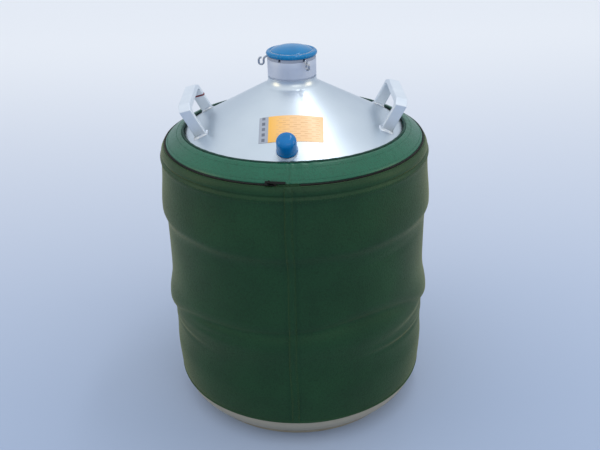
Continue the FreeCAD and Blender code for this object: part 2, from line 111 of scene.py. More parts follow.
def fillMesh(name, points, faces, uv=None):
    mesh = bpy.data.meshes.new(name)
    mesh.vertices.add(len(points))
    mesh.vertices.foreach_set("co", np.asarray(points, np.float32).ravel())
    mesh.loops.add(faces.size)
    mesh.loops.foreach_set("vertex_index", faces.astype(np.int32).ravel())
    mesh.polygons.add(len(faces))
    mesh.polygons.foreach_set("loop_start", np.arange(0, faces.size, faces.shape[1], dtype=np.int32))
    if uv is not None:
        layer = mesh.uv_layers.new(name="UVMap")
        layer.uv.foreach_set("vector", uv[faces].astype(np.float32).ravel())
    mesh.update(calc_edges=True)
    mesh.validate()
    return mesh


def finishPiece(mesh, material, body, replaced=(), sharpAngle=40):
    # poles and seams are merged, faces turned outwards, and the piece given its place in the model
    work = bmesh.new()
    work.from_mesh(mesh)
    bmesh.ops.remove_doubles(work, verts=work.verts, dist=2e-6)
    bmesh.ops.dissolve_degenerate(work, edges=work.edges, dist=1e-7)
    bmesh.ops.recalc_face_normals(work, faces=work.faces)
    work.to_mesh(mesh)
    work.free()
    mesh.shade_smooth()
    mesh.set_sharp_from_angle(angle=math.radians(sharpAngle))
    piece = bpy.data.objects.new(mesh.name, mesh)
    bpy.context.scene.collection.objects.link(piece)
    mesh.materials.append(material)
    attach(piece, body)
    if replaced:
        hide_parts(*replaced)
    return piece


def turnedPoints(radii, heights, azimuths):
    # a profile turned about the Z axis: x = r cos a, y = r sin a, z = height
    r, z, a = np.broadcast_arrays(radii, heights, azimuths)
    return np.stack([r * np.cos(a), r * np.sin(a), z], -1)


def bump(distance, width):
    # a bell curve, 1 at no distance and 0.37 at one width
    return np.exp(-(distance / width) ** 2)


# the vessel that everything sits on, read from the frame

bodyLow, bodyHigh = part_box("outer_shell_body")
shoulderLow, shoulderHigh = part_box("outer_shell_shoulder")
collarLow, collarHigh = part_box("neck_collar")
vessel = {
    "radius": shoulderHigh.x,        # outside of the aluminium body
    "kneeRadius": 0.020,             # rounding between body and shoulder
    "slope": math.radians(28.5),     # of the shoulder cone
    "kneeHeight": shoulderLow.z,     # where the rounding starts
    "seamAzimuth": math.radians(-92.7),
}
vessel["kneeCentre"] = vessel["radius"] - vessel["kneeRadius"]
vessel["apex"] = (vessel["kneeHeight"] + vessel["radius"] * math.tan(vessel["slope"])
                  + vessel["kneeRadius"] * math.tan((math.pi / 2 - vessel["slope"]) / 2))


def overKnee(angle, offset):
    # a point over the rounded shoulder, by its angle from level and its offset from the metal
    reach = vessel["kneeRadius"] + offset
    return vessel["kneeCentre"] + reach * np.cos(angle), vessel["kneeHeight"] + reach * np.sin(angle)


def overCone(radius, offset):
    # a point over the shoulder cone, moved out along its normal
    slope = vessel["slope"]
    return radius + offset * np.sin(slope), vessel["apex"] - radius * np.tan(slope) + offset * np.cos(slope)


def coneFrame(azimuth, place):
    # axes on the cone as columns: down the slope, round the axis, outwards; and the point itself
    slope = vessel["slope"]
    out = np.array([math.cos(azimuth), math.sin(azimuth), 0])
    side = np.array([-math.sin(azimuth), math.cos(azimuth), 0])
    down = out * math.cos(slope) - np.array([0, 0, math.sin(slope)])
    normal = out * math.sin(slope) + np.array([0, 0, math.cos(slope)])
    origin = out * place + np.array([0, 0, vessel["apex"] - place * math.tan(slope)])
    return np.stack([down, side, normal], 1), origin


def azimuthsCrowdedAt(middle, count, crowding):
    # azimuths once round, closer together near one place: t - c sin(2 pi t) / 2 pi
    t = np.arange(count) / count
    return middle + 2 * np.pi * (t - crowding * np.sin(2 * np.pi * t) / (2 * np.pi))


# materials

def spunAluminium():
    # spun and satin-etched aluminium: pale and cool, with very fine rings and faint clouds
    material, tree, shader, place = startMaterial("spunAluminium", {"Metallic": 1.0})
    axes = addNode(tree, "ShaderNodeSeparateXYZ", {0: place.outputs["Object"]})
    flat = addNode(tree, "ShaderNodeCombineXYZ", {0: axes.outputs[0], 1: axes.outputs[1]})
    radius = addNode(tree, "ShaderNodeVectorMath", {0: flat.outputs[0]}, operation="LENGTH")
    ringsPerMetre = 420  # turning marks about 2.4 mm apart, coarser than real so that they show
    rings = addNode(tree, "ShaderNodeMath", {0: radius.outputs["Value"], 1: ringsPerMetre}, operation="MULTIPLY")
    lift = addNode(tree, "ShaderNodeMath", {0: axes.outputs[2], 1: ringsPerMetre}, operation="MULTIPLY")
    drift = addNode(tree, "ShaderNodeMath", {0: axes.outputs[0], 1: 5.0}, operation="MULTIPLY")
    spun = addNode(tree, "ShaderNodeCombineXYZ", {0: rings.outputs[0], 1: lift.outputs[0], 2: drift.outputs[0]})
    marks = addNode(tree, "ShaderNodeTexNoise", {"Vector": spun.outputs[0], "Scale": 1.0, "Detail": 3.0})
    clouds = addNode(tree, "ShaderNodeTexNoise", {"Vector": place.outputs["Object"], "Scale": 9.0, "Detail": 4.0})
    tint = mixColours(tree, clouds.outputs["Fac"], linear("#b8c4cf"), linear("#d4dde4"))
    tree.links.new(tint, shader.inputs["Base Color"])
    tree.links.new(spread(tree, marks.outputs["Fac"], 0.30, 0.42), shader.inputs["Roughness"])
    relief = addNode(tree, "ShaderNodeBump", {"Height": marks.outputs["Fac"], "Distance": 0.00004, "Strength": 0.35})
    tree.links.new(relief.outputs[0], shader.inputs["Normal"])
    return material


def turnedAluminium(name, dark, light, rough, metal=1.0):
    # turned or rolled aluminium tube: fine level lines, softer and greyer than the spun cone
    material, tree, shader, place = startMaterial(name, {"Metallic": metal})
    linesPerMetre = 900  # tool marks about 1.1 mm apart
    stretch = addNode(tree, "ShaderNodeMapping", {"Vector": place.outputs["Object"],
                                                  "Scale": (12, 12, linesPerMetre)})
    marks = addNode(tree, "ShaderNodeTexNoise", {"Vector": stretch.outputs[0], "Scale": 1.0, "Detail": 2.0})
    clouds = addNode(tree, "ShaderNodeTexNoise", {"Vector": place.outputs["Object"], "Scale": 24.0})
    tint = mixColours(tree, clouds.outputs["Fac"], linear(dark), linear(light))
    tree.links.new(tint, shader.inputs["Base Color"])
    tree.links.new(spread(tree, marks.outputs["Fac"], rough - 0.05, rough + 0.07), shader.inputs["Roughness"])
    relief = addNode(tree, "ShaderNodeBump", {"Height": marks.outputs["Fac"], "Distance": 0.00003, "Strength": 0.4})
    tree.links.new(relief.outputs[0], shader.inputs["Normal"])
    return material


def blastedAluminium(name, dark, light, rough, metal=1.0):
    # cast or bead-blasted aluminium: an even satin with a fine pitted grain
    material, tree, shader, place = startMaterial(name, {"Metallic": metal})
    pits = addNode(tree, "ShaderNodeTexNoise", {"Vector": place.outputs["Object"], "Scale": 900.0, "Detail": 2.0})
    clouds = addNode(tree, "ShaderNodeTexNoise", {"Vector": place.outputs["Object"], "Scale": 30.0, "Detail": 3.0})
    tint = mixColours(tree, clouds.outputs["Fac"], linear(dark), linear(light))
    tree.links.new(tint, shader.inputs["Base Color"])
    tree.links.new(spread(tree, clouds.outputs["Fac"], rough - 0.04, rough + 0.08), shader.inputs["Roughness"])
    relief = addNode(tree, "ShaderNodeBump", {"Height": pits.outputs["Fac"], "Distance": 0.0001, "Strength": 0.3})
    tree.links.new(relief.outputs[0], shader.inputs["Normal"])
    return material


def dullAluminium():
    # bare mill-finish base: dull, its brownish tint a painted reflection of a wooden floor, and darker in patches over
    # the lowest 3 cm
    material, tree, shader, place = startMaterial("millAluminium", {"Metallic": 0.35})
    axes = addNode(tree, "ShaderNodeSeparateXYZ", {0: place.outputs["Object"]})
    scuffs = addNode(tree, "ShaderNodeTexNoise", {"Vector": place.outputs["Object"], "Scale": 45.0, "Detail": 6.0})
    # darker in patches towards the bottom, fading out 3 cm above the floor
    towardsFloor = addNode(tree, "ShaderNodeMapRange", {"Value": axes.outputs[2], "From Min": 0.0, "From Max": 0.03,
                                                "To Min": 0.65, "To Max": 0.0})
    share = addNode(tree, "ShaderNodeMath", {0: towardsFloor.outputs[0], 1: scuffs.outputs["Fac"]}, operation="MULTIPLY")
    # painted reflection: both brownish colours stand in for a wooden floor mirrored in the base
    tint = mixColours(tree, share.outputs[0], linear("#a8a190"), linear("#6e6758"))
    tree.links.new(tint, shader.inputs["Base Color"])
    tree.links.new(spread(tree, scuffs.outputs["Fac"], 0.38, 0.6), shader.inputs["Roughness"])
    relief = addNode(tree, "ShaderNodeBump", {"Height": scuffs.outputs["Fac"], "Distance": 0.0003, "Strength": 0.3})
    tree.links.new(relief.outputs[0], shader.inputs["Normal"])
    return material


def mouldedPlastic(name, dark, light, rough, gloss=0.5):
    # injection-moulded plastic: even colour with slight depth, glossy where the mould was polished
    material, tree, shader, place = startMaterial(name, {"IOR": 1.49, "Specular IOR Level": gloss})
    flow = addNode(tree, "ShaderNodeTexNoise", {"Vector": place.outputs["Object"], "Scale": 55.0, "Detail": 3.0})
    tint = mixColours(tree, flow.outputs["Fac"], linear(dark), linear(light))
    tree.links.new(tint, shader.inputs["Base Color"])
    tree.links.new(spread(tree, flow.outputs["Fac"], rough - 0.04, rough + 0.06), shader.inputs["Roughness"])
    skin = addNode(tree, "ShaderNodeTexNoise", {"Vector": place.outputs["Object"], "Scale": 260.0})
    relief = addNode(tree, "ShaderNodeBump", {"Height": skin.outputs["Fac"], "Distance": 0.00006, "Strength": 0.25})
    tree.links.new(relief.outputs[0], shader.inputs["Normal"])
    return material


def leatherette(name, dark, light, rough, sheen, grazingLightTint, gloss):
    # PVC leathercloth: embossed pebble grain with painted shade in its hollows, a soft semi-gloss, and a soft sheen at
    # grazing angles whose tint is painted light
    material, tree, shader, place = startMaterial(name, {
        "IOR": 1.5, "Specular IOR Level": gloss, "Sheen Weight": sheen, "Sheen Roughness": 0.35, "Sheen Tint": linear(grazingLightTint)})
    pebblesPerMetre = 420  # pebbles about 2.4 mm across, twice the real grain so that they show
    wobble = addNode(tree, "ShaderNodeTexNoise", {"Vector": place.outputs["Object"], "Scale": 160.0, "Detail": 2.0})
    bent = addNode(tree, "ShaderNodeVectorMath", {0: wobble.outputs["Color"], "Scale": 0.004}, operation="SCALE")
    moved = addNode(tree, "ShaderNodeVectorMath", {0: place.outputs["Object"], 1: bent.outputs[0]}, operation="ADD")
    pebbles = addNode(tree, "ShaderNodeTexVoronoi", {"Vector": moved.outputs[0], "Scale": pebblesPerMetre},
                      feature="SMOOTH_F1")
    clouds = addNode(tree, "ShaderNodeTexNoise", {"Vector": place.outputs["Object"], "Scale": 14.0, "Detail": 5.0})
    tint = mixColours(tree, clouds.outputs["Fac"], linear(dark), linear(light))
    # painted shade and highlight: the hollows between pebbles are darkened and the pebble tops lightened a little
    creases = addNode(tree, "ShaderNodeMapRange", {"Value": pebbles.outputs["Distance"], "From Min": 0.25,
                                                   "From Max": 0.75, "To Min": 1.06, "To Max": 0.80})
    shaded = addNode(tree, "ShaderNodeHueSaturation", {"Color": tint, "Value": creases.outputs[0]})
    tree.links.new(shaded.outputs[0], shader.inputs["Base Color"])
    tree.links.new(spread(tree, pebbles.outputs["Distance"], rough - 0.07, rough + 0.12), shader.inputs["Roughness"])
    raised = addNode(tree, "ShaderNodeMath", {0: 1.0, 1: pebbles.outputs["Distance"]}, operation="SUBTRACT")
    relief = addNode(tree, "ShaderNodeBump", {"Height": raised.outputs[0], "Distance": 0.0005, "Strength": 0.45})
    tree.links.new(relief.outputs[0], shader.inputs["Normal"])
    return material


def wovenCloth(name, dark, light, threadsPerMetre):
    # plain woven tape or thread: matt, with a crossing of light and dark yarns
    material, tree, shader, place = startMaterial(name, {"Roughness": 0.85, "Sheen Weight": 0.2})
    weave = addNode(tree, "ShaderNodeTexVoronoi", {"Vector": place.outputs["Object"], "Scale": threadsPerMetre},
                    distance="CHEBYCHEV")
    tint = mixColours(tree, weave.outputs["Distance"], linear(light), linear(dark))
    tree.links.new(tint, shader.inputs["Base Color"])
    relief = addNode(tree, "ShaderNodeBump", {"Height": weave.outputs["Distance"], "Distance": 0.0003,
                                              "Strength": 0.5}, invert=True)
    tree.links.new(relief.outputs[0], shader.inputs["Normal"])
    return material


def brushedSteel(name, dark, light, rough):
    # drawn stainless wire: bright, with fine draw lines along it
    material, tree, shader, place = startMaterial(name, {"Metallic": 1.0})
    stretch = addNode(tree, "ShaderNodeMapping", {"Vector": place.outputs["Object"], "Scale": (700, 700, 60)})
    lines = addNode(tree, "ShaderNodeTexNoise", {"Vector": stretch.outputs[0], "Scale": 1.0, "Detail": 2.0})
    tint = mixColours(tree, lines.outputs["Fac"], linear(dark), linear(light))
    tree.links.new(tint, shader.inputs["Base Color"])
    tree.links.new(spread(tree, lines.outputs["Fac"], rough - 0.06, rough + 0.08), shader.inputs["Roughness"])
    return material


def printedFilm():
    # printed vinyl film: a grey end block, a yellow band and an orange field with plain faint bars
    material, tree, shader, place = startMaterial("printedFilm", {"IOR": 1.46, "Roughness": 0.32,
                                                                  "Coat Weight": 0.25, "Coat Roughness": 0.2})
    axes = addNode(tree, "ShaderNodeSeparateXYZ", {0: place.outputs["UV"]})
    across, up = axes.outputs[0], axes.outputs[1]
    field = addNode(tree, "ShaderNodeMapRange", {"Value": across, "From Min": 0.15, "From Max": 0.55})
    orange = mixColours(tree, field.outputs[0], linear("#f0b548"), linear("#f3c792"))
    bars = addNode(tree, "ShaderNodeTexBrick", {
        "Vector": place.outputs["UV"], "Color1": linear("#c98f4e"), "Color2": linear("#e0ad6c"),
        "Mortar": linear("#ffffff"), "Scale": 1.0, "Mortar Size": 0.03, "Mortar Smooth": 0.3,
        "Brick Width": 0.17, "Row Height": 0.085}, offset=0.37)
    inside = [
        addNode(tree, "ShaderNodeMath", {0: source, 1: limit}, operation=kind).outputs[0]
        for source, limit, kind in ((across, 0.27, "GREATER_THAN"), (across, 0.95, "LESS_THAN"),
                                    (up, 0.12, "GREATER_THAN"), (up, 0.93, "LESS_THAN"))]
    both = addNode(tree, "ShaderNodeMath", {0: inside[0], 1: inside[1]}, operation="MULTIPLY")
    tall = addNode(tree, "ShaderNodeMath", {0: inside[2], 1: inside[3]}, operation="MULTIPLY")
    framed = addNode(tree, "ShaderNodeMath", {0: both.outputs[0], 1: tall.outputs[0]}, operation="MULTIPLY")
    printed = addNode(tree, "ShaderNodeMath", {0: 1.0, 1: bars.outputs["Fac"]}, operation="SUBTRACT")
    faint = addNode(tree, "ShaderNodeMath", {0: framed.outputs[0], 1: printed.outputs[0]}, operation="MULTIPLY")
    weak = addNode(tree, "ShaderNodeMath", {0: faint.outputs[0], 1: 0.55}, operation="MULTIPLY")
    withBars = mixColours(tree, weak.outputs[0], orange, bars.outputs["Color"])
    blocks = addNode(tree, "ShaderNodeTexBrick", {
        "Vector": place.outputs["UV"], "Color1": linear("#5c6372"), "Color2": linear("#6b7280"),
        "Mortar": linear("#9aa2b0"), "Scale": 1.0, "Mortar Size": 0.05, "Mortar Smooth": 0.2,
        "Brick Width": 0.14, "Row Height": 0.21}, offset=0.0)
    endBlock = addNode(tree, "ShaderNodeMath", {0: across, 1: 0.145}, operation="LESS_THAN")
    full = mixColours(tree, endBlock.outputs[0], withBars, blocks.outputs["Color"])
    tree.links.new(full, shader.inputs["Base Color"])
    return material


def foamOrGlass(name, dark, light, rough, cellsPerMetre, metal=0.0):
    # plain stock for pieces inside: foam, glass-fibre tube, foil or cloth, told apart by their grain
    material, tree, shader, place = startMaterial(name, {"Metallic": metal})
    cells = addNode(tree, "ShaderNodeTexVoronoi", {"Vector": place.outputs["Object"], "Scale": cellsPerMetre})
    tint = mixColours(tree, cells.outputs["Distance"], linear(light), linear(dark))
    tree.links.new(tint, shader.inputs["Base Color"])
    tree.links.new(spread(tree, cells.outputs["Distance"], rough - 0.05, rough + 0.1), shader.inputs["Roughness"])
    relief = addNode(tree, "ShaderNodeBump", {"Height": cells.outputs["Distance"], "Distance": 0.0004,
                                              "Strength": 0.3}, invert=True)
    tree.links.new(relief.outputs[0], shader.inputs["Normal"])
    return material


# painted light: the olive sheen tint stands in for warm light grazing the jacket's sides
bodyLeather = leatherette("bottleGreenLeathercloth", "#122f1c", "#1e4529", 0.44, 0.60, "#9a9140", 0.18)
# partly painted light: the top ring's cloth is a brighter, bluer green than the body's, standing in for the light it
# catches as it faces up
paintedLitTopLeather = leatherette("paintedLitTopGreenLeathercloth", "#075038", "#0e6149", 0.34, 0.02, "#9fc0b0", 0.42)
# painted shade: the piping is darkened to stand in for the shadowed gap between the hem and the cone
paintedShadePipingLeather = leatherette("pipingLeathercloth", "#0a332a", "#104037", 0.60, 0.08, "#7fa496", 0.3)
finishes = {
    "shell_aluminium": spunAluminium(),
    "base_aluminium": dullAluminium(),
    "neck_aluminium": turnedAluminium("collarAluminium", "#a9b4c8", "#c3cde0", 0.50, 0.35),
    "handle_aluminium": blastedAluminium("handleAluminium", "#c9d3df", "#e1e8ef", 0.40, 0.60),
    "weld_aluminium": blastedAluminium("weldAluminium", "#aeb8c4", "#c6ced7", 0.34),
    "port_aluminium": turnedAluminium("portAluminium", "#b6bfcc", "#d2dae4", 0.32),
    "vessel_aluminium": blastedAluminium("vesselAluminium", "#b9bec4", "#d3d7db", 0.36),
    "neck_glass_fibre": foamOrGlass("glassFibreEpoxy", "#a8a072", "#c6bf8e", 0.35, 500),
    "index_ring_plastic": mouldedPlastic("greyNylon", "#8790a3", "#99a2b4", 0.45),
    "insulation_foil": foamOrGlass("aluminisedFoil", "#b7bac0", "#e2e4e8", 0.2, 60, metal=1.0),
    "adsorbent_cloth": foamOrGlass("adsorbentCloth", "#c9c4b4", "#e2ded0", 0.9, 420),
    "getter_steel": brushedSteel("getterSteel", "#84878c", "#a5a9af", 0.35),
    "locator_plastic": mouldedPlastic("whitePolypropylene", "#d2d2cb", "#e2e2dc", 0.45),
    "plug_aluminium": turnedAluminium("plugAluminium", "#a9aeb6", "#c4c9d1", 0.32),
    "seal_rubber": mouldedPlastic("nitrileRubber", "#0e0e0f", "#17171a", 0.6),
    "lid_plastic": mouldedPlastic("blueLidPolythene", "#02669d", "#057cb6", 0.12, gloss=0.30),
    "cap_plastic": mouldedPlastic("blueCapPolythene", "#04609e", "#0874b6", 0.15, gloss=0.30),
    "plug_foam": foamOrGlass("whiteFoam", "#d4dade", "#eef1f3", 0.85, 700),
    "canister_aluminium": blastedAluminium("canisterAluminium", "#b6babf", "#cfd3d8", 0.32),
    "rod_steel": brushedSteel("rodSteel", "#8b929e", "#b9c0ca", 0.26),
    "jacket_leatherette": bodyLeather,
    "jacket_top_leatherette": paintedLitTopLeather,
    "piping_leatherette": paintedShadePipingLeather,
    # partly painted shade: the zipper's own dark cloth and nylon, made near-black to stand in for the shadowed groove
    # along the seam
    "zipper_tape_cloth": wovenCloth("zipperTapeClothPaintedShade", "#050606", "#141817", 1400),
    "zipper_coil_nylon": mouldedPlastic("zipperNylonPaintedShade", "#060707", "#101312", 0.4),
    "zipper_metal": blastedAluminium("blackedZinc", "#1b1c1c", "#2c2d2d", 0.4),
    "label_film": printedFilm(),
    "marker_thread": wovenCloth("redThread", "#4d0f1b", "#8c2a38", 1800),
}
for nodeName, nodeObject in nodes.items():
    for slotOnNode in nodeObject.material_slots:
        slotOnNode.material = finishes[slotOfNode[nodeName]]
print("materials made:", len(finishes))


# jacket side panel: a padded leathercloth skirt with two sagging folds round it

sidePanel = {
    "columns": 360, "crowding": 0.72,
    "foot": 0.0525, "waist": 0.2346, "thickness": 0.0036,
    "tuckIn": 0.0022, "tuckHeight": 0.010,     # how the lower edge draws in
    "edgeAngle": math.radians(47.2),           # where the panel ends beside the zipper
    "bandSeam": 0.4885,                        # height of the seam under the zipper band
    "grooveDepth": 0.0024, "grooveWidth": 0.0017,
    "rollHeight": 0.0062, "rollRise": 0.0016,  # the panel swells just under that seam
    "hang": 0.243, "hangDepth": 0.0022,        # a long sagging crease half way down
}
folds = (  # crest height, rise, fall above, fall below
    {"crest": 0.391, "rise": 0.0066, "above": 0.050, "below": 0.0150},
    {"crest": 0.215, "rise": 0.0056, "above": 0.030, "below": 0.032},
    {"crest": 0.112, "rise": 0.0022, "above": 0.024, "below": 0.040},
)
creases = (  # short sharp creases: height, azimuth, half length in radians, depth, tilt in metres per radian
    {"height": 0.166, "azimuth": math.radians(-34), "length": 0.50, "depth": 0.0022, "width": 0.0050, "tilt": -0.010},
    {"height": 0.196, "azimuth": math.radians(-30), "length": 0.42, "depth": 0.0014, "width": 0.0070, "tilt": 0.016},
    {"height": 0.214, "azimuth": math.radians(-128), "length": 0.36, "depth": 0.0013, "width": 0.0060, "tilt": 0.010},
    {"height": 0.176, "azimuth": math.radians(-150), "length": 0.34, "depth": 0.0012, "width": 0.0060, "tilt": -0.012},
    {"height": 0.352, "azimuth": math.radians(-48), "length": 0.40, "depth": 0.0010, "width": 0.0080, "tilt": 0.012},
    {"height": 0.205, "azimuth": math.radians(60), "length": 0.55, "depth": 0.0016, "width": 0.0065, "tilt": 0.012},
    {"height": 0.330, "azimuth": math.radians(118), "length": 0.50, "depth": 0.0013, "width": 0.0070, "tilt": -0.014},
    {"height": 0.158, "azimuth": math.radians(170), "length": 0.40, "depth": 0.0016, "width": 0.0060, "tilt": 0.010},
)


def wrapped(angle):
    return (angle + np.pi) % (2 * np.pi) - np.pi


def unevenness(azimuth, height, amount):
    # slow waves that no two places share: a sum of three sines
    return amount * (np.sin(3 * azimuth + 17 * height + 0.6) + 0.7 * np.sin(7 * azimuth - 29 * height + 2.1)
                     + 0.5 * np.sin(13 * azimuth + 41 * height + 4.0)) / 2.2


def shellRadius(height):
    # the metal under the jacket: a cylinder with a rolled rib at two heights
    rib = np.maximum(0, 1 - np.abs(height - 0.214) / 0.016) + np.maximum(0, 1 - np.abs(height - 0.387) / 0.016)
    return vessel["radius"] + 0.0055 * rib


def hangHeight(azimuth):
    # the long crease sags at the two sides and rises a little right of the front
    right = bump(wrapped(azimuth + 1.01), 0.49)
    return sidePanel["hang"] - 0.008 + 0.016 * right - 0.052 * np.cos(azimuth) ** 8


def sideRadius(azimuth, height):
    # waist + folds (bell curves, steeper below the crest) - creases - tuck at the foot
    radius = sidePanel["waist"] + unevenness(azimuth, height, 0.0005)
    for fold in folds:
        gap = height - fold["crest"] + unevenness(azimuth, 0.0, 0.003)
        radius = radius + fold["rise"] * bump(gap, np.where(gap > 0, fold["above"], fold["below"]))
    gap = height - hangHeight(azimuth)
    radius = radius - sidePanel["hangDepth"] * bump(gap, np.where(gap > 0, 0.0060, 0.0120))
    radius = radius + 0.0030 * bump(gap - 0.021, np.where(gap > 0.021, 0.040, 0.013))
    for crease in creases:
        along = wrapped(azimuth - crease["azimuth"])
        middle = crease["height"] + crease["tilt"] * along
        fade = bump(along, crease["length"] * 0.7)
        gap = height - middle
        radius = radius - crease["depth"] * fade * bump(gap, crease["width"])
        radius = radius + 0.5 * crease["depth"] * fade * bump(gap - 1.9 * crease["width"], crease["width"])
    radius = radius - sidePanel["tuckIn"] * np.exp(-(height - sidePanel["foot"]) / sidePanel["tuckHeight"])
    gap = height - sidePanel["bandSeam"]
    radius = radius - sidePanel["grooveDepth"] * bump(gap, sidePanel["grooveWidth"])
    radius = radius + sidePanel["rollRise"] * bump(gap + sidePanel["rollHeight"], 0.0042)
    pull = wrapped(azimuth - vessel["seamAzimuth"]) * vessel["radius"]
    radius = radius - 0.0010 * bump(np.abs(pull) - 0.0085, 0.0030)
    return np.maximum(radius, shellRadius(height) + 0.0026)


def sideEdgeOffset(angle, azimuth):
    # how far the panel stands off the metal over the rounded shoulder, rolling down at its edge
    front = (0.5 - 0.5 * np.sin(azimuth)) ** 2
    full = 0.0062 - 0.0020 * (1 - front) * np.clip(angle / math.radians(30), 0, 1)
    share = np.clip((sidePanel["edgeAngle"] - angle) / math.radians(6), 0, 1)
    return full - 0.0026 * (1 - np.sqrt(1 - (1 - share) ** 2))


def sidePanelPoints():
    azimuth = azimuthsCrowdedAt(vessel["seamAzimuth"], sidePanel["columns"], sidePanel["crowding"])[None, :]
    heights = np.linspace(sidePanel["foot"], vessel["kneeHeight"], 178)[:, None]
    radii = sideRadius(azimuth, heights)
    kneeAngles = np.linspace(0, sidePanel["edgeAngle"], 16)[1:, None]
    kneeR, kneeZ = overKnee(kneeAngles, sideEdgeOffset(kneeAngles, azimuth))
    # the side's own shape fades out over the first half of the rounding
    blend = bump(kneeAngles / math.radians(20), 1.0)
    kneeR = kneeR + blend * (sideRadius(azimuth, kneeZ) - vessel["radius"] - 0.0062)
    outerR = np.concatenate([radii, kneeR])
    outerZ = np.concatenate([heights + 0 * azimuth, kneeZ])
    innerAngles = np.linspace(sidePanel["edgeAngle"], 0, 7)[:, None]
    innerKneeR, innerKneeZ = overKnee(innerAngles, 0.0012)
    innerHeights = np.linspace(vessel["kneeHeight"], sidePanel["foot"], 90)[1:, None]
    backing = np.maximum(sideRadius(azimuth, innerHeights) - sidePanel["thickness"],
                         shellRadius(innerHeights) + 0.0010)
    innerR = np.concatenate([innerKneeR + 0 * azimuth, backing])
    innerZ = np.concatenate([innerKneeZ, innerHeights]) + 0 * azimuth
    return turnedPoints(np.concatenate([outerR, innerR]), np.concatenate([outerZ, innerZ]), azimuth)


def buildSidePanel():
    points = sidePanelPoints()
    rows, columns = points.shape[:2]
    mesh = fillMesh("jacketSidePanel", points.reshape(-1, 3), gridFaces(rows, columns, True, True))
    return finishPiece(mesh, bodyLeather, "dewar", ("jacket_side_panel",), 60)


# jacket top panel: the ring between the zipper and the hem, puckered a little at the hem

topPanel = {
    "columns": 300, "crowding": 0.72, "edgeAngle": math.radians(52.8),
    "hem": 0.1925, "offset": 0.0042, "frontOffset": 0.0022, "hemOffset": 0.0052, "frontHemOffset": 0.0092,
    "puff": 0.0010, "puckers": 61, "puckerHeight": 0.0003,
}
topPanel["kneeEnd"] = math.pi / 2 - vessel["slope"]
topPanel["tangent"] = vessel["kneeCentre"] + vessel["kneeRadius"] * math.cos(topPanel["kneeEnd"])
topPanel["kneeLength"] = (topPanel["kneeEnd"] - topPanel["edgeAngle"]) * vessel["kneeRadius"]


def topWalk(radius):
    # distance over the shoulder from the zipper to a radius on the cone
    return topPanel["kneeLength"] + (topPanel["tangent"] - radius) / math.cos(vessel["slope"])


def topOffset(azimuth, share):
    # share runs from 0 at the zipper to 1 at the hem: a low swell, small puckers and the front seam
    swell = topPanel["puff"] * np.sin(np.pi * share) ** 0.8
    strength = 0.5 + 0.5 * np.sin(2.3 * azimuth + 0.9) * np.sin(5 * azimuth + 2.0)
    strength = strength + 1.6 * bump(wrapped(azimuth - vessel["seamAzimuth"] - 0.16), 0.12)
    pucker = topPanel["puckerHeight"] * strength * np.sin(topPanel["puckers"] * azimuth) * share ** 2
    seam = wrapped(azimuth - vessel["seamAzimuth"]) * vessel["radius"]
    groove = 0.0014 * bump(seam - 0.001, 0.0016) - 0.0006 * bump(seam - 0.0055, 0.003)
    front = (0.5 - 0.5 * np.sin(azimuth)) ** 2
    edge = topPanel["offset"] + topPanel["frontOffset"] * front
    rise = (topPanel["hemOffset"] + topPanel["frontHemOffset"] * front - edge) * share
    return edge + rise + swell + pucker - groove + unevenness(azimuth, share * 0.1, 0.0003)


def topPanelPoints():
    azimuth = azimuthsCrowdedAt(vessel["seamAzimuth"], topPanel["columns"], topPanel["crowding"])[None, :]
    angles = np.linspace(topPanel["edgeAngle"], topPanel["kneeEnd"], 7)[:, None]
    radii = np.linspace(topPanel["tangent"], topPanel["hem"], 44)[1:, None]
    walk = np.concatenate([(angles - topPanel["edgeAngle"]) * vessel["kneeRadius"], topWalk(radii)])
    share = walk / walk[-1]
    offset = topOffset(azimuth, share)
    rollZip = np.clip(walk / 0.0035, 0, 1)
    rollHem = np.clip((walk[-1] - walk) / 0.0055, 0, 1)
    offset = offset - 0.0016 * (1 - np.sqrt(1 - (1 - rollZip) ** 2)) - 0.0026 * (1 - np.sqrt(1 - (1 - rollHem) ** 2))
    kneeR, kneeZ = overKnee(angles, offset[:7])
    coneR, coneZ = overCone(radii, offset[7:])
    wallR, wallZ = overCone(topPanel["hem"], 0.0012 + (offset[-1] - 0.0012) * np.array([[0.66], [0.33]]))
    backAngles, backRadii = angles[::-2], radii[::-4]
    innerConeR, innerConeZ = overCone(backRadii + 0 * azimuth, 0.0012)
    innerKneeR, innerKneeZ = overKnee(backAngles + 0 * azimuth, 0.0012)
    r = np.concatenate([kneeR, coneR, wallR, innerConeR, innerKneeR])
    z = np.concatenate([kneeZ, coneZ, wallZ, innerConeZ, innerKneeZ])
    return turnedPoints(r, z, azimuth)


def buildTopPanel():
    points = topPanelPoints()
    rows, columns = points.shape[:2]
    mesh = fillMesh("jacketTopPanel", points.reshape(-1, 3), gridFaces(rows, columns, True, True))
    return finishPiece(mesh, paintedLitTopLeather, "dewar", ("jacket_top_panel",), 60)


# edge rolls: hem piping against the cone, and the binding at the jacket's foot

def tubeRing(name, radii, heights, thickness, azimuth, sides, material, replaced):
    # a round section carried round the axis: r + t cos s, z + t sin s
    turn = np.linspace(0, 2 * np.pi, sides, endpoint=False)[:, None]
    points = turnedPoints(radii + thickness * np.cos(turn), heights + thickness * np.sin(turn), azimuth[None, :])
    mesh = fillMesh(name, points.reshape(-1, 3), gridFaces(sides, azimuth.size, True, True))
    return finishPiece(mesh, material, "dewar", replaced)


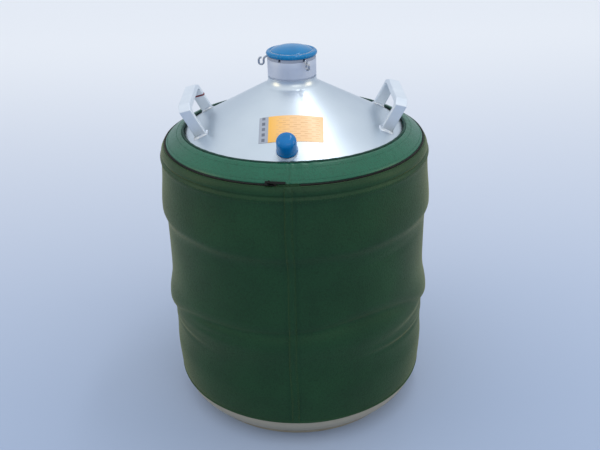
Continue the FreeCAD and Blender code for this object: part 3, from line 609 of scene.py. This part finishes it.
def buildHemPiping():
    size = {"thickness": 0.0020, "puckers": 61}
    azimuth = azimuthsCrowdedAt(vessel["seamAzimuth"], 360, 0.5)
    ripple = 0.0002 * np.sin(size["puckers"] * azimuth) + unevenness(azimuth, 0.0, 0.0003)
    radii, heights = overCone(topPanel["hem"] - 0.0016 + ripple, topOffset(azimuth, 1.0) - size["thickness"] - 0.0006)
    return tubeRing("jacketHemPiping", radii, heights, size["thickness"], azimuth, 12,
                    paintedShadePipingLeather, ("jacket_hem_piping",))


def buildBottomBinding():
    size = {"thickness": 0.0026}
    azimuth = azimuthsCrowdedAt(vessel["seamAzimuth"], 360, 0.5)
    foot = sidePanel["foot"] + 0.0004
    radii = sideRadius(azimuth, foot) - 0.0016
    heights = foot - 0.0006 + unevenness(azimuth, 0.0, 0.0006)
    return tubeRing("jacketBottomBinding", radii, heights, size["thickness"], azimuth, 12,
                    bodyLeather, ("jacket_bottom_binding",))


# front seam: a folded strip from the foot up to the zipper band, with softly rounded edges

frontSeam = {"halfWidth": 0.0062, "rise": 0.0016, "wander": 0.0010}


def seamPlace(height):
    # the strip's middle wanders a little to each side on its way down
    return vessel["seamAzimuth"] + frontSeam["wander"] / vessel["radius"] * (
        np.sin(23 * height + 0.5) + 0.5 * np.sin(51 * height + 2.0))


def kneeWalk(start, end, count):
    return np.linspace(start, end, count)


def buildFrontSeam():
    heights = np.linspace(sidePanel["foot"] + 0.001, vessel["kneeHeight"], 150)[:, None]
    across = np.linspace(-1, 1, 15)[None, :]
    rise = frontSeam["rise"] * (1 - np.abs(across) ** 6) ** 0.5
    ribbed = 0.0004 * (bump(across - 0.62, 0.12) + bump(across + 0.62, 0.12))   # pressed along the stitch rows
    azimuth = seamPlace(heights) + across * frontSeam["halfWidth"] / vessel["radius"]
    outer = sideRadius(azimuth, heights) + rise - ribbed
    kneeAngles = np.linspace(0, math.radians(38), 14)[1:, None]
    kneeAzimuth = seamPlace(vessel["kneeHeight"]) + across * frontSeam["halfWidth"] / vessel["radius"]
    kneeR, kneeZ = overKnee(kneeAngles, sideEdgeOffset(kneeAngles, kneeAzimuth))
    fade = bump(kneeAngles / math.radians(20), 1.0)
    kneeR = kneeR + fade * (sideRadius(kneeAzimuth, kneeZ) - vessel["radius"] - 0.0062) + rise - ribbed
    r = np.concatenate([outer, kneeR])
    z = np.concatenate([heights + 0 * across, kneeZ + 0 * across])
    azimuth = np.concatenate([azimuth, kneeAzimuth + 0 * kneeZ])
    sunk = np.stack([r - 0.0030, r])
    section = np.concatenate([sunk[1], sunk[0][:, ::-1]], 1)
    points = turnedPoints(section, np.concatenate([z, z[:, ::-1]], 1), np.concatenate([azimuth, azimuth[:, ::-1]], 1))
    rows, columns = points.shape[:2]
    ends = [np.array([[0, k, columns - 1 - k, 0] for k in range(0)], int).reshape(0, 4)]
    faces = gridFaces(rows, columns, False, True)
    half = columns // 2
    k = np.arange(half - 1)
    for row in (0, rows - 1):
        base = row * columns
        ends.append(np.stack([base + k, base + k + 1, base + columns - 2 - k, base + columns - 1 - k], 1))
    mesh = fillMesh("jacketFrontSeam", points.reshape(-1, 3), np.concatenate([faces, *ends]))
    return finishPiece(mesh, bodyLeather, "dewar", ("jacket_front_seam",), 60)


# zipper: woven tape, a spiral nylon coil, and the sewn patch that covers its two ends at the front

zipper = {
    "angle": math.radians(50), "halfTape": math.radians(7), "tapeOffset": 0.0032, "frontRise": 0.0012, "tapeThickness": 0.0012,
    "gap": math.radians(9), "coilPitch": 0.0017, "coilHalfWidth": 0.0015, "coilHalfHeight": 0.0010,
    "wire": 0.00042,
}


def tapeOffset(azimuth):
    return zipper["tapeOffset"] + zipper["frontRise"] * (0.5 - 0.5 * np.sin(azimuth)) ** 2


def buildZipperTape():
    start = vessel["seamAzimuth"] + zipper["gap"] / 2
    azimuth = np.linspace(start, start + 2 * np.pi - zipper["gap"], 320)[None, :]
    angle = np.linspace(zipper["angle"] - zipper["halfTape"], zipper["angle"] + zipper["halfTape"], 9)[:, None]
    outer = overKnee(angle, tapeOffset(azimuth))
    inner = overKnee(angle[::-1], tapeOffset(azimuth) - zipper["tapeThickness"])
    r = np.concatenate([outer[0], inner[0]]) + 0 * azimuth
    z = np.concatenate([outer[1], inner[1]]) + 0 * azimuth
    points = turnedPoints(r, z, azimuth)
    rows, columns = points.shape[:2]
    k = np.arange(rows // 2 - 1)
    ends = [np.stack([k * columns + c, (k + 1) * columns + c, (rows - 2 - k) * columns + c,
                      (rows - 1 - k) * columns + c], 1) for c in (0, columns - 1)]
    mesh = fillMesh("zipperTape", points.reshape(-1, 3),
                    np.concatenate([gridFaces(rows, columns, True, False), *ends]))
    return finishPiece(mesh, finishes["zipper_tape_cloth"], "dewar", ("zipper_tape",))


def tubeAlong(path, radius, sides, taper=None):
    # a round section carried along a path of points; the section's first axis stays square to a slow reference
    tangent = np.gradient(path, axis=0)
    tangent /= np.linalg.norm(tangent, axis=1, keepdims=True)
    reference = np.array([0.0, 0.0, 1.0]) + 0 * path
    reference = np.where(np.abs(tangent[:, 2:]) > 0.95, np.array([1.0, 0.0, 0.0]), reference)
    first = np.cross(tangent, reference)
    first /= np.linalg.norm(first, axis=1, keepdims=True)
    second = np.cross(tangent, first)
    turn = np.linspace(0, 2 * np.pi, sides, endpoint=False)
    size = radius * (np.ones(len(path)) if taper is None else taper)
    rim = np.cos(turn)[None, :, None] * first[:, None] + np.sin(turn)[None, :, None] * second[:, None]
    return path[:, None] + size[:, None, None] * rim


def closedTubeMesh(name, path, radius, sides):
    # rounded ends: the radius falls to nothing over the first and last steps
    taper = np.ones(len(path))
    taper[0] = taper[-1] = 0.02
    points = tubeAlong(path, radius, sides, taper)
    faces = gridFaces(len(path), sides, False, True)
    points = np.concatenate([points.reshape(-1, 3), path[:1], path[-1:]])
    k = np.arange(sides)
    last = (len(path) - 1) * sides
    caps = np.concatenate([np.stack([k, (k + 1) % sides, 0 * k + len(points) - 2, 0 * k + len(points) - 2], 1),
                           np.stack([last + k, last + (k + 1) % sides, 0 * k + len(points) - 1,
                                     0 * k + len(points) - 1], 1)])
    return points, faces, caps


def buildZipperCoil():
    # a flattened helix round the shoulder: across = a sin t, out = b cos t, one turn each pitch
    start = vessel["seamAzimuth"] + zipper["gap"] / 2
    sweep = 2 * np.pi - zipper["gap"]
    turns = int(sweep * vessel["radius"] / zipper["coilPitch"])
    t = np.linspace(0, 1, turns * 9 + 1)
    middleR, middleZ = overKnee(zipper["angle"], tapeOffset(start + sweep * t) + zipper["coilHalfHeight"])
    spiral = 2 * np.pi * turns * t
    across = zipper["coilHalfWidth"] * np.sin(spiral)
    out = zipper["coilHalfHeight"] * np.cos(spiral)
    r = middleR - across * math.sin(zipper["angle"]) + out * math.cos(zipper["angle"])
    z = middleZ + across * math.cos(zipper["angle"]) + out * math.sin(zipper["angle"])
    path = turnedPoints(r, z, start + sweep * t)
    points = tubeAlong(path, zipper["wire"], 5)
    faces = gridFaces(len(path), 5, False, True)
    flat = points.reshape(-1, 3)
    flat = np.concatenate([flat, path[:1], path[-1:]])
    mesh = fillMesh("zipperCoil", flat, faces)
    work = bmesh.new()
    work.from_mesh(mesh)
    bmesh.ops.delete(work, geom=[v for v in work.verts if not v.link_faces], context="VERTS")
    bmesh.ops.holes_fill(work, edges=[e for e in work.edges if e.is_boundary], sides=8)
    work.to_mesh(mesh)
    work.free()
    return finishPiece(mesh, finishes["zipper_coil_nylon"], "dewar", ("zipper_coil",))


def buildZipperPatch():
    # leathercloth sewn over both ends of the zipper, creased along the middle
    half = zipper["gap"] / 2 + 0.0015
    across = np.linspace(-1, 1, 41)[None, :]
    angle = np.linspace(math.radians(45.0), math.radians(55.0), 21)[:, None]
    spot = (angle - zipper["angle"]) / math.radians(5)
    offset = 0.0062 + 0.0003 * (1 - spot ** 2) - 0.0012 * bump(spot, 0.16) + 0 * across
    seam = across * half * vessel["radius"]
    offset = offset - 0.0012 * bump(seam, 0.0014) + 0.0005 * np.sin(9 * across + 1.2) * bump(spot, 0.8)
    offset = offset - 0.0015 * np.abs(across) ** 10 - 0.0012 * np.abs(spot) ** 8
    azimuth = vessel["seamAzimuth"] + across * half + 0 * angle
    outer = overKnee(angle, offset)
    inner = overKnee(angle + 0 * across, 0.0028 + 0 * across)
    r = np.concatenate([outer[0], inner[0][:, ::-1]], 1)
    z = np.concatenate([outer[1], inner[1][:, ::-1]], 1)
    a = np.concatenate([azimuth, azimuth[:, ::-1]], 1)
    points = turnedPoints(r, z, a)
    rows, columns = points.shape[:2]
    k = np.arange(columns // 2 - 1)
    ends = [np.stack([row * columns + k, row * columns + k + 1, row * columns + columns - 2 - k,
                      row * columns + columns - 1 - k], 1) for row in (0, rows - 1)]
    mesh = fillMesh("zipperEndPatch", points.reshape(-1, 3),
                    np.concatenate([gridFaces(rows, columns, False, True), *ends]))
    return finishPiece(mesh, bodyLeather, "dewar", (), 60)


# stitches: short rounded threads laid end to end along the seams

stitch = {"length": 0.0029, "pitch": 0.0040, "thickness": 0.00042}


def stitchRow(centres, along, outwards):
    # each stitch is a slim six-sided spindle: its middle stands proud and its ends dive into the cloth
    side = np.cross(outwards, along)
    share = np.array([-1.0, -0.6, 0.0, 0.6, 1.0])
    girth = np.array([0.05, 0.8, 1.0, 0.8, 0.05])
    lift = np.array([-0.9, 0.25, 0.6, 0.25, -0.9]) * stitch["thickness"]
    turn = np.linspace(0, 2 * np.pi, 6, endpoint=False)
    middle = (centres[:, None] + along[:, None] * (share * stitch["length"] / 2)[None, :, None]
              + outwards[:, None] * lift[None, :, None])
    rim = (np.cos(turn)[None, None, :, None] * side[:, None, None] + np.sin(turn)[None, None, :, None]
           * outwards[:, None, None]) * (girth * stitch["thickness"])[None, :, None, None]
    points = (middle[:, :, None] + rim).reshape(-1, 3)
    cell = gridFaces(5, 6, False, True)
    ends = np.array([[0, 1, 2, 3], [0, 3, 4, 5], [24, 25, 26, 27], [24, 27, 28, 29]])
    shape = np.concatenate([cell, ends])
    faces = (shape[None] + 30 * np.arange(len(centres))[:, None, None]).reshape(-1, 4)
    return points, faces


def unit(vectors):
    return vectors / np.linalg.norm(vectors, axis=-1, keepdims=True)


def rowRound(surface, start, sweep, radius):
    # stitches at equal steps round the axis on a surface given as a function of azimuth
    count = int(abs(sweep) * radius / stitch["pitch"])
    azimuth = start + sweep * (np.arange(count) + 0.5) / count
    centres = surface(azimuth)
    along = unit(np.stack([-np.sin(azimuth), np.cos(azimuth), 0 * azimuth], 1))
    return centres, along


def kneeRow(angle, start, sweep):
    surface = lambda a: turnedPoints(*overKnee(angle, sideEdgeOffset(angle, a)), a)
    centres, along = rowRound(surface, start, sweep, vessel["radius"])
    radial = unit(centres * np.array([1, 1, 0]))
    outwards = radial * math.cos(angle) + np.array([0, 0, math.sin(angle)])
    return stitchRow(centres, along, outwards)


def sideRow(height):
    surface = lambda a: turnedPoints(sideRadius(a, height), height, a)
    centres, along = rowRound(surface, vessel["seamAzimuth"] + 0.035, 2 * np.pi - 0.07, vessel["radius"])
    outwards = unit(centres * np.array([1, 1, 0]))
    return stitchRow(centres, along, outwards)


def coneRow(radius):
    share = topWalk(radius) / topWalk(topPanel["hem"])
    surface = lambda a: turnedPoints(*overCone(radius, topOffset(a, share)), a)
    centres, along = rowRound(surface, vessel["seamAzimuth"] + 0.01, 2 * np.pi - 0.02, radius)
    radial = unit(centres * np.array([1, 1, 0]))
    outwards = radial * math.sin(vessel["slope"]) + np.array([0, 0, math.cos(vessel["slope"])])
    return stitchRow(centres, along, outwards)


def seamRow(sideShift):
    low, high = sidePanel["foot"] + 0.004, vessel["kneeHeight"] - 0.004
    count = int((high - low) / stitch["pitch"])
    height = low + (high - low) * (np.arange(count) + 0.5) / count
    azimuth = seamPlace(height) + sideShift / vessel["radius"]
    rise = frontSeam["rise"] - 0.0004
    centres = turnedPoints(sideRadius(azimuth, height) + rise, height, azimuth)
    above = turnedPoints(sideRadius(azimuth, height + 0.001) + rise, height + 0.001, azimuth)
    along = unit(above - centres)
    radial = unit(centres * np.array([1, 1, 0]))
    outwards = unit(radial - along * (radial * along).sum(1, keepdims=True))
    return stitchRow(centres, along, outwards)


def buildStitches(name, rows, material):
    points, faces, count = [], [], 0
    for rowPoints, rowFaces in rows:
        points.append(rowPoints)
        faces.append(rowFaces + count)
        count += len(rowPoints)
    mesh = fillMesh(name, np.concatenate(points), np.concatenate(faces))
    return finishPiece(mesh, material, "dewar", (), 80)


sideCover = buildSidePanel()
topCover = buildTopPanel()
hemPiping = buildHemPiping()
bottomBinding = buildBottomBinding()
seamStrip = buildFrontSeam()
zipperTape = buildZipperTape()
zipperCoil = buildZipperCoil()
zipperPatch = buildZipperPatch()
zipGap = zipper["gap"] / 2
sideStitches = buildStitches("jacketSideStitches", [
    sideRow(sidePanel["bandSeam"] - 0.0050), sideRow(sidePanel["bandSeam"] - 0.0085),
    seamRow(-frontSeam["halfWidth"] * 0.62), seamRow(frontSeam["halfWidth"] * 0.62),
    kneeRow(math.radians(41), vessel["seamAzimuth"] + zipGap, 2 * np.pi - zipper["gap"]),
], bodyLeather)
topStitches = buildStitches("jacketTopStitches", [
    coneRow(topPanel["hem"] + 0.0085), coneRow(0.2185),
], paintedLitTopLeather)
print("jacket made")


# lid: a domed blue moulding with a scalloped grip rim

def buildLid():
    low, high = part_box("lid")
    size = {"radius": high.x, "rim": 0.0040, "lobes": 44, "lobeDepth": 0.0004, "step": 0.0364, "bowl": 0.0355}
    sideZ = low.z + size["rim"]
    turn = np.radians(np.linspace(-90, 118, 26))
    rimR = size["radius"] - size["rim"] + size["rim"] * np.cos(turn)
    rimZ = sideZ + size["rim"] * np.sin(turn)
    # inside the rim a shallow groove, then a low disc with a rounded edge and a domed top
    grooveR = np.array([size["step"] + 0.0010, size["step"], size["step"] - 0.0007])
    grooveZ = sideZ + np.array([0.0031, 0.0029, 0.0034])
    share = np.linspace(1, 0, 32)
    domeR = (size["step"] - 0.0009) * share
    domeZ = sideZ + 0.0042 + (high.z - sideZ - 0.0042) * (1 - share ** 2.2) ** 0.9
    radii = np.concatenate([[size["bowl"], size["bowl"] + 0.0004], rimR, grooveR, domeR, [0.0, size["bowl"]]])
    heights = np.concatenate([[low.z + 0.004, low.z], rimZ, grooveZ, domeZ, [low.z + 0.004, low.z + 0.004]])
    azimuth = np.linspace(0, 2 * np.pi, 352, endpoint=False)[None, :]
    grip = size["lobeDepth"] * np.sin(azimuth * size["lobes"] / 2) ** 2
    onRim = (bump(heights - sideZ, 0.0030) * (radii > 0.040))[:, None]
    points = turnedPoints(radii[:, None] - grip * onRim, heights[:, None], azimuth)
    rows, columns = points.shape[:2]
    mesh = fillMesh("lidShell", points.reshape(-1, 3), gridFaces(rows, columns, False, True))
    return finishPiece(mesh, finishes["lid_plastic"], "lid_and_plug", ("lid",), 50)


# collar: a turned tube with a shadow groove where it meets the shoulder

def buildCollar():
    low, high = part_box("neck_collar")
    radius, wall = high.x, 0.0025
    profile = np.array([
        [radius - wall, low.z], [radius - 0.0022, low.z], [radius - 0.0022, low.z + 0.0006],
        [radius - 0.0016, low.z + 0.0022], [radius - 0.0005, low.z + 0.0027], [radius, low.z + 0.0034],
        [radius, low.z + 0.010], [radius, low.z + 0.020], [radius, high.z - 0.0010],
        [radius - 0.0003, high.z - 0.0003], [radius - 0.0010, high.z], [radius - wall, high.z]])
    azimuth = np.linspace(0, 2 * np.pi, 180, endpoint=False)[None, :]
    points = turnedPoints(profile[:, :1], profile[:, 1:], azimuth)
    mesh = fillMesh("neckCollar", points.reshape(-1, 3), gridFaces(len(profile), azimuth.size, True, True))
    return finishPiece(mesh, finishes["neck_aluminium"], "dewar", ("neck_collar",), 35)


# port cap: a soft blue dome over the vacuum port

def buildPortCap():
    size = {"azimuth": math.radians(-94), "place": 0.162, "foot": 0.0034, "side": 0.0215, "dome": 0.0080,
            "radius": 0.0167, "bore": 0.0144, "inside": 0.0180, "taper": 0.0006, "lip": 0.0005}
    axes, origin = coneFrame(size["azimuth"], size["place"])
    shoulder = size["foot"] + size["side"]
    t = np.linspace(0, math.pi / 2, 26)
    domeR = (size["radius"] - size["taper"]) * np.cos(t) ** 0.62
    domeZ = shoulder - 0.0022 + (size["dome"] + 0.0022) * np.sin(t) ** 1.0
    sideZ = np.linspace(size["foot"] + 0.0015, shoulder - 0.0030, 10)
    sideR = size["radius"] - size["taper"] * (sideZ - size["foot"]) / size["side"]
    radii = np.concatenate([[size["bore"], size["radius"] - 0.0004, size["radius"] + size["lip"]], sideR, domeR,
                            [0.0, size["bore"], size["bore"]]])
    heights = np.concatenate([[size["foot"], size["foot"], size["foot"] + 0.0008], sideZ, domeZ,
                              [size["inside"], size["inside"], size["foot"] + 0.001]])
    radii[-4] = 0.0
    azimuth = np.linspace(0, 2 * np.pi, 96, endpoint=False)[None, :]
    local = turnedPoints(radii[:, None], heights[:, None], azimuth)
    points = local @ axes.T + origin
    mesh = fillMesh("vacuumPortCap", points.reshape(-1, 3), gridFaces(len(radii), azimuth.size, True, True))
    return finishPiece(mesh, finishes["cap_plastic"], "port_cap", ("vacuum_port_cap",), 50)


# handles: the bent flat bars, with their edges eased

def buildHandle(nodeName, pieceName):
    source = nodes[nodeName].data.copy()
    source.name = pieceName
    work = bmesh.new()
    work.from_mesh(source)
    bmesh.ops.remove_doubles(work, verts=work.verts, dist=1e-5)
    bmesh.ops.dissolve_limit(work, angle_limit=math.radians(1.5), verts=work.verts, edges=work.edges)
    work.to_mesh(source)
    work.free()
    source.materials.clear()
    piece = finishPiece(source, finishes["handle_aluminium"], "dewar", (nodeName,), 30)
    bevel = piece.modifiers.new("easedEdges", "BEVEL")
    bevel.width = 0.0017
    bevel.segments = 3
    bevel.limit_method = "ANGLE"
    bevel.angle_limit = math.radians(15)
    bevel.harden_normals = True
    return piece


handle = {
    "place": 0.150, "halfSpan": 0.072, "thickness": 0.010, "width": 0.020,
    "lean": math.radians(28), "pitch": math.radians(14), "corner": 0.0020,
}


def handlePoint(mirror, y, height, across):
    # a point of a handle from its foot's inner edge; mirror is 1 on the right and -1 on the left
    lean, pitch = handle["lean"], handle["pitch"]
    x = handle["place"] + math.sin(lean) * height + math.cos(pitch) * across
    z = (vessel["apex"] - handle["place"] * math.tan(vessel["slope"]) + math.cos(lean) * height
         - math.sin(pitch) * across)
    x, y, z = np.broadcast_arrays(mirror * x, y, z)
    return np.stack([x, y, z], -1)


def legOutline(grow, count):
    # a rounded rectangle round one leg's section, grown outwards, as (along Y, across the bar)
    halfY, halfW = handle["thickness"] / 2, handle["width"] / 2
    round_ = handle["corner"] + grow
    side = np.array([2 * (halfY - handle["corner"]), 2 * (halfW - handle["corner"])])
    t = np.linspace(0, 2 * np.pi, count, endpoint=False)
    direction = np.stack([np.cos(t), np.sin(t)], 1)
    steep = np.abs(direction) ** 0.35 * np.sign(direction)
    core = steep / np.abs(steep).max(1, keepdims=True) * side / 2
    return core + round_ * direction


def onCone(mirror, y, across):
    # how high along the leg the cone's surface is, by Newton steps
    height = np.zeros(np.broadcast_shapes(np.shape(y), np.shape(across)))
    lift, reach = math.cos(handle["lean"]), math.sin(handle["lean"])
    for _ in range(8):
        p = handlePoint(mirror, y, height, across)
        radius = np.hypot(p[..., 0], p[..., 1])
        above = p[..., 2] + math.tan(vessel["slope"]) * radius - vessel["apex"]
        slopeAlong = lift + math.tan(vessel["slope"]) * mirror * p[..., 0] * reach / radius
        height = height - above / slopeAlong
    return height


def buildWeldBeads():
    # round each foot: a hollow fillet from the cone up the leg, rippled as laid bead on bead
    size = {"leg": 0.0050, "ripples": 38, "ripple": 0.10, "count": 228}
    turn = np.linspace(0, np.pi / 2, 9)
    points, faces, total = [], [], 0
    for mirror in (-1, 1):
        for side in (-1, 1):
            middleY = side * (handle["halfSpan"] - handle["thickness"] / 2)
            t = np.linspace(0, 2 * np.pi, size["count"], endpoint=False)
            wave = 1 + size["ripple"] * np.sin(size["ripples"] * t + 0.8 * np.sin(3 * t))
            wave = wave * (1 + 0.08 * np.sin(2 * t + side + mirror))
            rows = []
            for a in turn:
                out = size["leg"] * (1 - math.sin(a))
                up = size["leg"] * (1 - math.cos(a))
                outline = legOutline(0.0, size["count"])
                grown = outline + (legOutline(0.001, size["count"]) - outline) * (out / 0.001) * wave[:, None]
                y, across = middleY + grown[:, 0], handle["width"] / 2 + grown[:, 1]
                rows.append(handlePoint(mirror, y, onCone(mirror, y, across) + up * wave, across))
            inner = legOutline(-0.0008, size["count"])
            y, across = middleY + inner[:, 0], handle["width"] / 2 + inner[:, 1]
            rows.append(handlePoint(mirror, y, onCone(mirror, y, across) + size["leg"] * 0.8, across))
            rows.append(handlePoint(mirror, y, onCone(mirror, y, across) - 0.0008, across))
            block = np.stack(rows)
            points.append(block.reshape(-1, 3))
            faces.append(gridFaces(*block.shape[:2], True, True) + total)
            total += block.shape[0] * block.shape[1]
    mesh = fillMesh("handleWelds", np.concatenate(points), np.concatenate(faces))
    return finishPiece(mesh, finishes["weld_aluminium"], "dewar", ("handle_weld_beads",), 70)


def buildMarkerThread():
    # three turns of thread round the rear leg of the left handle, pulled tight, with two short ends
    size = {"turns": 3, "height": 0.0210, "pitch": 0.0010, "thread": 0.00048}
    count = 60
    outline = legOutline(size["thread"] * 0.6, count)
    around = np.concatenate([outline] * size["turns"] + [outline[:8]])
    climb = np.arange(len(around)) / count * size["pitch"]
    middleY = handle["halfSpan"] - handle["thickness"] / 2
    path = handlePoint(-1, middleY + around[:, 0], size["height"] + climb, handle["width"] / 2 + around[:, 1])
    points, faces, caps = closedTubeMesh("markerThread", path, size["thread"], 7)
    work = [(points, faces, caps)]
    tie = path[4]
    for lean in (-1, 1):
        t = np.linspace(0, 1, 12)[:, None]
        drop = tie + t * np.array([0.0016 * lean, -0.0035, 0.002]) + t ** 2 * np.array([0.003 * lean, 0.001, -0.010])
        work.append(closedTubeMesh("markerThread", drop, size["thread"] * 0.9, 7))
    total, allPoints, allFaces = 0, [], []
    for piecePoints, pieceFaces, pieceCaps in work:
        allPoints.append(piecePoints)
        allFaces.append(np.concatenate([pieceFaces, pieceCaps]) + total)
        total += len(piecePoints)
    points, faces = np.concatenate(allPoints), np.concatenate(allFaces)
    mesh = bpy.data.meshes.new("markerThread")
    corners = [tuple(dict.fromkeys(face)) for face in faces.tolist()]
    mesh.from_pydata(points.tolist(), [], corners)
    return finishPiece(mesh, finishes["marker_thread"], "dewar", ("handle_marker_band",), 60)


# label: a thin printed film that follows the cone

def buildLabel():
    size = {"azimuth": math.radians(-92), "place": 0.120, "width": 0.104, "height": 0.056,
            "thickness": 0.00035, "corner": 0.0015}
    axes, origin = coneFrame(size["azimuth"], size["place"])
    across, along = np.meshgrid(np.linspace(-0.5, 0.5, 53), np.linspace(-0.5, 0.5, 29))
    flat = np.stack([-along * size["height"], across * size["width"], 0 * across], -1)
    spot = flat @ axes.T + origin

    def settle(offset):
        # slide each point along the label's normal until it stands that far off the cone
        p = spot.copy()
        for _ in range(8):
            radius = np.hypot(p[..., 0], p[..., 1])
            slope = vessel["slope"]
            gap = (p[..., 2] - vessel["apex"] + radius * math.tan(slope)) * math.cos(slope) - offset
            p = p - gap[..., None] * axes[:, 2]
        return p

    outer, inner = settle(size["thickness"]), settle(0.00002)
    rows, columns = across.shape
    count = rows * columns
    points = np.concatenate([outer.reshape(-1, 3), inner.reshape(-1, 3)])
    top = gridFaces(rows, columns, False, False)
    index = np.arange(count).reshape(rows, columns)
    rim = np.concatenate([index[0], index[1:, -1], index[-1, -2::-1], index[-2:0:-1, 0]])
    nextRim = np.roll(rim, -1)
    wall = np.stack([rim, nextRim, nextRim + count, rim + count], 1)
    uvSheet = np.stack([across + 0.5, along + 0.5], -1).reshape(-1, 2)
    mesh = fillMesh("frontLabel", points, np.concatenate([top, top[:, ::-1] + count, wall]),
                    np.concatenate([uvSheet, uvSheet]))
    return finishPiece(mesh, finishes["label_film"], "dewar", ("front_label",), 40)


buildLid()
buildCollar()
buildPortCap()
buildHandle("handle_left", "handleLeft")
buildHandle("handle_right", "handleRight")
buildWeldBeads()
buildMarkerThread()
buildLabel()
print("metal, lid and label pieces made")


# stage: pale floor with painted fall-off of light, soft lights and the camera

def buildFloor():
    size = {"reach": 14.0, "height": -0.0002}
    t = np.linspace(-0.5, 0.5, 3) * size["reach"]
    x, y = np.meshgrid(t, t)
    points = np.stack([x, y, 0 * x + size["height"]], -1).reshape(-1, 3)
    mesh = fillMesh("studioFloor", points, gridFaces(3, 3, False, False))
    material, tree, shader, place = startMaterial("floorPaintedFalloff", {"Roughness": 0.9, "Specular IOR Level": 0.1})
    axes = addNode(tree, "ShaderNodeSeparateXYZ", {0: place.outputs["Object"]})
    # painted light fall-off: the floor goes from blue-grey near the camera to pale further off
    depth = addNode(tree, "ShaderNodeMapRange", {"Value": axes.outputs[1], "From Min": -0.8, "From Max": 3.0},
                    interpolation_type="SMOOTHSTEP")
    tint = mixColours(tree, depth.outputs[0], linear("#98aac8"), linear("#eceef2"))
    tree.links.new(tint, shader.inputs["Base Color"])
    floor = bpy.data.objects.new("studioFloor", mesh)
    bpy.context.scene.collection.objects.link(floor)
    mesh.materials.append(material)


def addAreaLight(name, place, target, width, depth, power, colour):
    data = bpy.data.lights.new(name, "AREA")
    data.shape = "RECTANGLE"
    data.size, data.size_y = width, depth
    data.energy = power
    data.color = linear(colour)[:3]
    light = bpy.data.objects.new(name, data)
    aim = np.array(target) - np.array(place)
    forward = aim / np.linalg.norm(aim)
    right = np.cross(forward, [0, 1, 0] if abs(forward[2]) > 0.9 else [0, 0, 1])
    right = right / np.linalg.norm(right)
    up = np.cross(right, forward)
    turn = np.eye(4)
    turn[:3, 0], turn[:3, 1], turn[:3, 2], turn[:3, 3] = right, up, -forward, place
    light.matrix_world = Matrix(turn.tolist())
    bpy.context.scene.collection.objects.link(light)


def buildLights():
    addAreaLight("overheadStrip", (0.42, 0.26, 2.2), (0.08, 0, 0.5), 0.15, 0.9, 3.9, "#fbfcff")
    addAreaLight("frontFill", (0.9, -2.7, 1.6), (0, 0, 0.3), 2.0, 1.6, 9, "#fff4df")
    addAreaLight("leftEdge", (-2.0, -0.35, 0.9), (0, 0, 0.25), 0.9, 1.4, 8, "#ffe3ab")
    addAreaLight("rightEdge", (2.0, -0.35, 0.9), (0, 0, 0.25), 0.9, 1.4, 8, "#ffe8bb")
    world = bpy.data.worlds.new("studioSky")
    bpy.context.scene.world = world
    world.use_nodes = True
    tree = world.node_tree
    place = addNode(tree, "ShaderNodeTexCoord")
    axes = addNode(tree, "ShaderNodeSeparateXYZ", {0: place.outputs["Generated"]})
    height = addNode(tree, "ShaderNodeMapRange", {"Value": axes.outputs[2], "From Min": -0.1, "From Max": 0.9})
    sky = mixColours(tree, height.outputs[0], linear("#bcc6d4"), linear("#f2f6fb"))
    background = tree.nodes["Background"]
    tree.links.new(sky, background.inputs["Color"])
    background.inputs["Strength"].default_value = 1.15


def buildCamera():
    size = {"place": (0.0, -1.3372, 0.9947), "yaw": 0.004925, "pitch": 0.46446, "roll": -0.02665, "lens": 48.0}
    yaw, pitch, roll = size["yaw"], size["pitch"], size["roll"]
    forward = np.array([math.sin(yaw) * math.cos(pitch), math.cos(yaw) * math.cos(pitch), -math.sin(pitch)])
    level = np.array([math.cos(yaw), -math.sin(yaw), 0])
    upright = np.cross(level, forward)
    right = level * math.cos(roll) + upright * math.sin(roll)
    up = -level * math.sin(roll) + upright * math.cos(roll)
    turn = np.eye(4)
    turn[:3, 0], turn[:3, 1], turn[:3, 2], turn[:3, 3] = right, up, -forward, size["place"]
    data = bpy.data.cameras.new("studioCamera")
    data.lens, data.sensor_width = size["lens"], 36.0
    camera = bpy.data.objects.new("studioCamera", data)
    camera.matrix_world = Matrix(turn.tolist())
    bpy.context.scene.collection.objects.link(camera)
    bpy.context.scene.camera = camera


buildFloor()
buildLights()
buildCamera()
bpy.context.scene.view_settings.view_transform = "Standard"   # hex colours come out as they are written
print("stage made")
